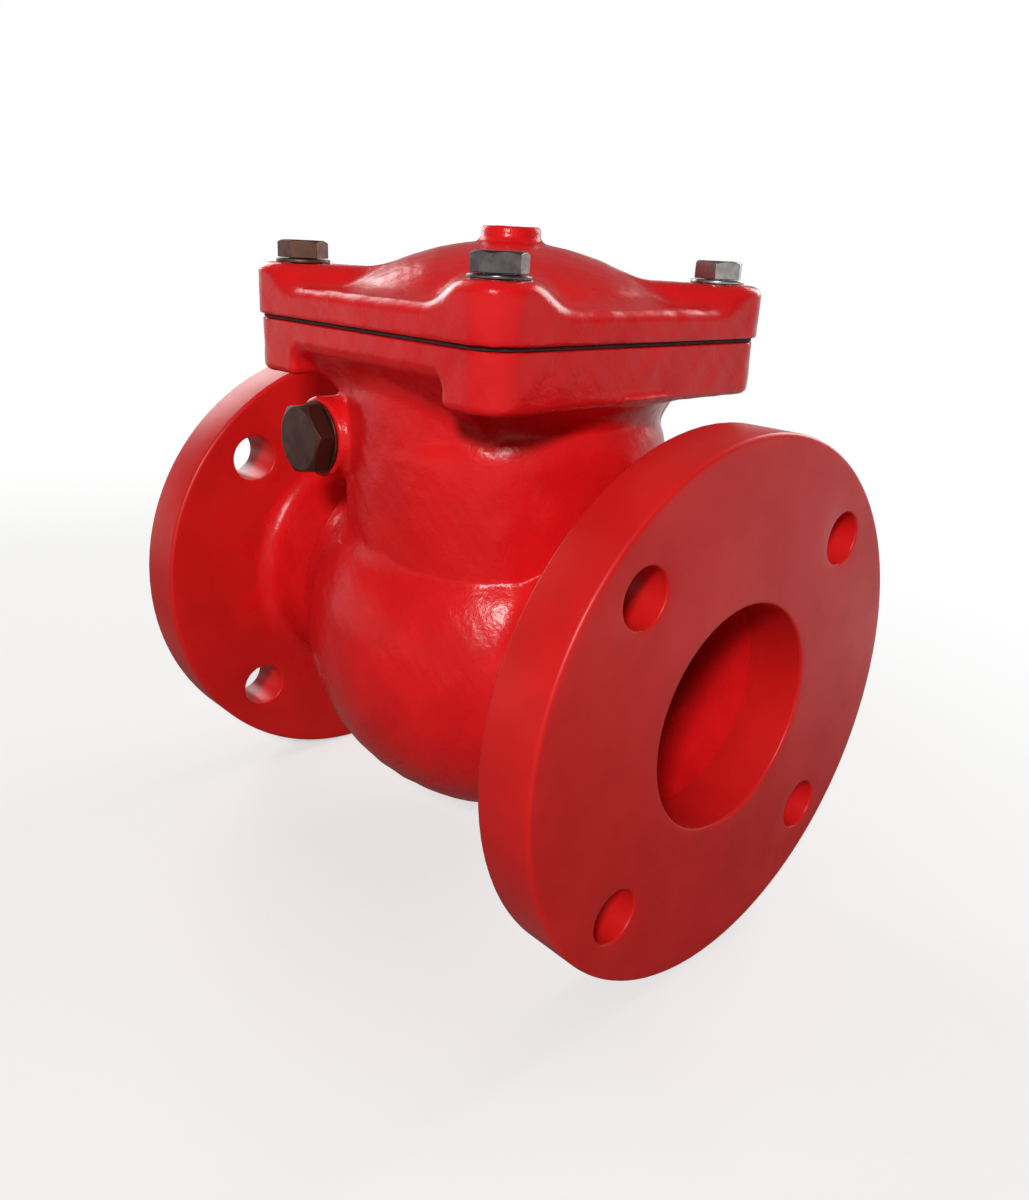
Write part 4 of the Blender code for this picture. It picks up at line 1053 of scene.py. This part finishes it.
@dataclass
class Studio:
    """The pale floor, the soft lamps, the white surround and the camera."""

    camera_place: Place = (0.2812, -0.2604, 0.2407)
    azimuth_deg: float = 46.0
    elevation_deg: float = 19.8
    roll_deg: float = 2.9
    focal_share: float = 977.4 / 1200
    world_level: float = 0.10
    backdrop: Span = (0.0, 0.3)
    overhead: float = 0.12
    floor_reach: float = 6.0
    floor_height: float = -0.0004
    floor_white: float = 0.55
    fade: Span = (0.4, 0.8)
    fade_centre: Place = (-0.15, -0.25, 0.0)
    aim: Place = (0.0, 0.0, 0.1)

    def camera(self) -> None:
        """Aim the camera as the photograph's was, with a small roll."""
        a, e, r = (math.radians(v) for v in (self.azimuth_deg, self.elevation_deg, self.roll_deg))
        back = Vector((math.sin(a) * math.cos(e), -math.cos(a) * math.cos(e), math.sin(e)))
        right = Vector((math.cos(a), math.sin(a), 0.0))
        up = back.cross(right)
        across = right * math.cos(r) + up * math.sin(r)
        upward = up * math.cos(r) - right * math.sin(r)
        data = bpy.data.cameras.new("camera")
        data.sensor_width = 36.0
        data.lens = self.focal_share * data.sensor_width
        data.clip_start = 0.01
        data.clip_end = 30.0
        camera = linked("camera", data)
        turn = Matrix((across, upward, back)).transposed().to_4x4()
        camera.matrix_world = Matrix.Translation(self.camera_place) @ turn
        bpy.context.scene.camera = camera

    def seen(self, tree: Tree) -> Socket:
        """Return one for camera, mirror and glass rays, and nought for all others."""
        path = add_node(tree, "LightPath")
        total = path.outputs["Is Camera Ray"]
        for name in ("Is Glossy Ray", "Is Transmission Ray"):
            total = add_node(tree, "Math", {
                0: total, 1: path.outputs[name]}, operation="MAXIMUM").outputs[0]
        return total

    def surround(self) -> None:
        """Light the object softly from a world that is seen, and mirrored, as plain white.

        The mirrored white reaches up the backdrop and fades overhead, where a studio has
        no backdrop.
        """
        world = bpy.data.worlds.new("surround")
        world.use_nodes = True
        tree = world.node_tree
        tree.nodes.clear()
        soft = add_node(tree, "Background", {
            "Color": to_linear("#f4f2ef"), "Strength": self.world_level})
        white = add_node(tree, "Background", {"Color": (1.0, 1.0, 1.0, 1.0), "Strength": 1.0})
        heading = add_node(tree, "TexCoord").outputs["Generated"]
        height = add_node(tree, "SeparateXYZ", {0: heading}).outputs["Z"]
        backdrop = add_node(tree, "MapRange", {
            "Value": height, "From Min": self.backdrop[0], "From Max": self.backdrop[1],
            "To Min": 1.0, "To Max": self.overhead}, interpolation_type="SMOOTHSTEP").outputs[0]
        shown = add_node(tree, "Math", {
            0: backdrop, 1: self.seen(tree)}, operation="MULTIPLY").outputs[0]
        camera = add_node(tree, "LightPath").outputs["Is Camera Ray"]
        factor = add_node(tree, "Math", {0: camera, 1: shown}, operation="MAXIMUM").outputs[0]
        mixed = add_node(tree, "MixShader", {0: factor, 1: soft.outputs[0], 2: white.outputs[0]})
        add_node(tree, "OutputWorld", {"Surface": mixed.outputs[0]})
        bpy.context.scene.world = world

    def floor(self) -> None:
        """Lay a wide pale floor that keeps the shadow and turns plain white further out.

        The share of white grows smoothly with the distance from a centre, and only for
        rays that see or mirror the floor, so it throws no more light on the object. Light
        that bounces off the floor finds it greyer.
        """
        mesh = bpy.data.meshes.new("floor")
        reach, low = self.floor_reach, self.floor_height
        mesh.from_pydata([(-reach, -reach, low), (reach, -reach, low), (reach, reach, low),
                          (-reach, reach, low)], [], [(0, 1, 2, 3)])
        floor = linked("floor", mesh)
        material = bpy.data.materials.new("pale matt floor")
        material.use_nodes = True
        tree = material.node_tree
        matt = tree.nodes["Principled BSDF"]
        matt.inputs["Roughness"].default_value = 0.9
        path = add_node(tree, "LightPath")
        tone = add_node(tree, "Mix", {
            "Factor": path.outputs["Is Camera Ray"], "A": to_linear("#85837f"),
            "B": to_linear("#f7f6f4")}, data_type="RGBA")
        tree.links.new(tone.outputs["Result"], matt.inputs["Base Color"])
        place = add_node(tree, "TexCoord").outputs["Object"]
        distance = add_node(tree, "VectorMath", {
            0: place, 1: self.fade_centre}, operation="DISTANCE")
        low_share = add_node(tree, "Math", {
            0: path.outputs["Is Camera Ray"], 1: self.floor_white},
            operation="MULTIPLY").outputs[0]
        share = add_node(tree, "MapRange", {
            "Value": distance.outputs["Value"], "From Min": self.fade[0], "From Max": self.fade[1],
            "To Min": low_share, "To Max": 1.0}, interpolation_type="SMOOTHSTEP").outputs[0]
        factor = add_node(tree, "Math", {
            0: share, 1: self.seen(tree)}, operation="MULTIPLY").outputs[0]
        white = add_node(tree, "Emission", {"Color": (1.0, 1.0, 1.0, 1.0), "Strength": 1.0})
        mixed = add_node(tree, "MixShader", {0: factor, 1: matt.outputs[0], 2: white.outputs[0]})
        tree.links.new(mixed.outputs[0], tree.nodes["Material Output"].inputs["Surface"])
        mesh.materials.append(material)

    def lamp(self, name: str, place: Place, size: float, power: float) -> None:
        """Hang one square lamp that points at the middle of the valve."""
        data = bpy.data.lights.new(name, "AREA")
        data.shape = "SQUARE"
        data.size = size
        data.energy = power
        lamp = linked(name, data)
        lamp.location = place
        lamp.rotation_euler = (Vector(self.aim) - Vector(place)).to_track_quat("-Z", "Y").to_euler()

    def build(self) -> None:
        """Set up everything round the object."""
        self.camera()
        self.surround()
        self.floor()
        self.lamp("key lamp", (0.67, -0.89, 0.77), 0.18, 12.5)
        self.lamp("left back lamp", (-1.15, 0.1, 0.65), 0.6, 6.0)
        self.lamp("right back lamp", (0.0, 1.15, 0.65), 0.6, 7.0)
        bpy.context.scene.view_settings.view_transform = "Standard"


def main() -> None:
    """Build every piece of the valve and the studio round it."""
    logging.basicConfig(level=logging.INFO, format="%(message)s")
    BodyCasting().build()
    CoverCasting().build()
    for end in End:
        PipeFlange(end).build()
    CoverBolts().build()
    HingePlugSet().build()
    SeatAndDisc().build()
    Studio().build()


if __name__ == "__main__":
    main()
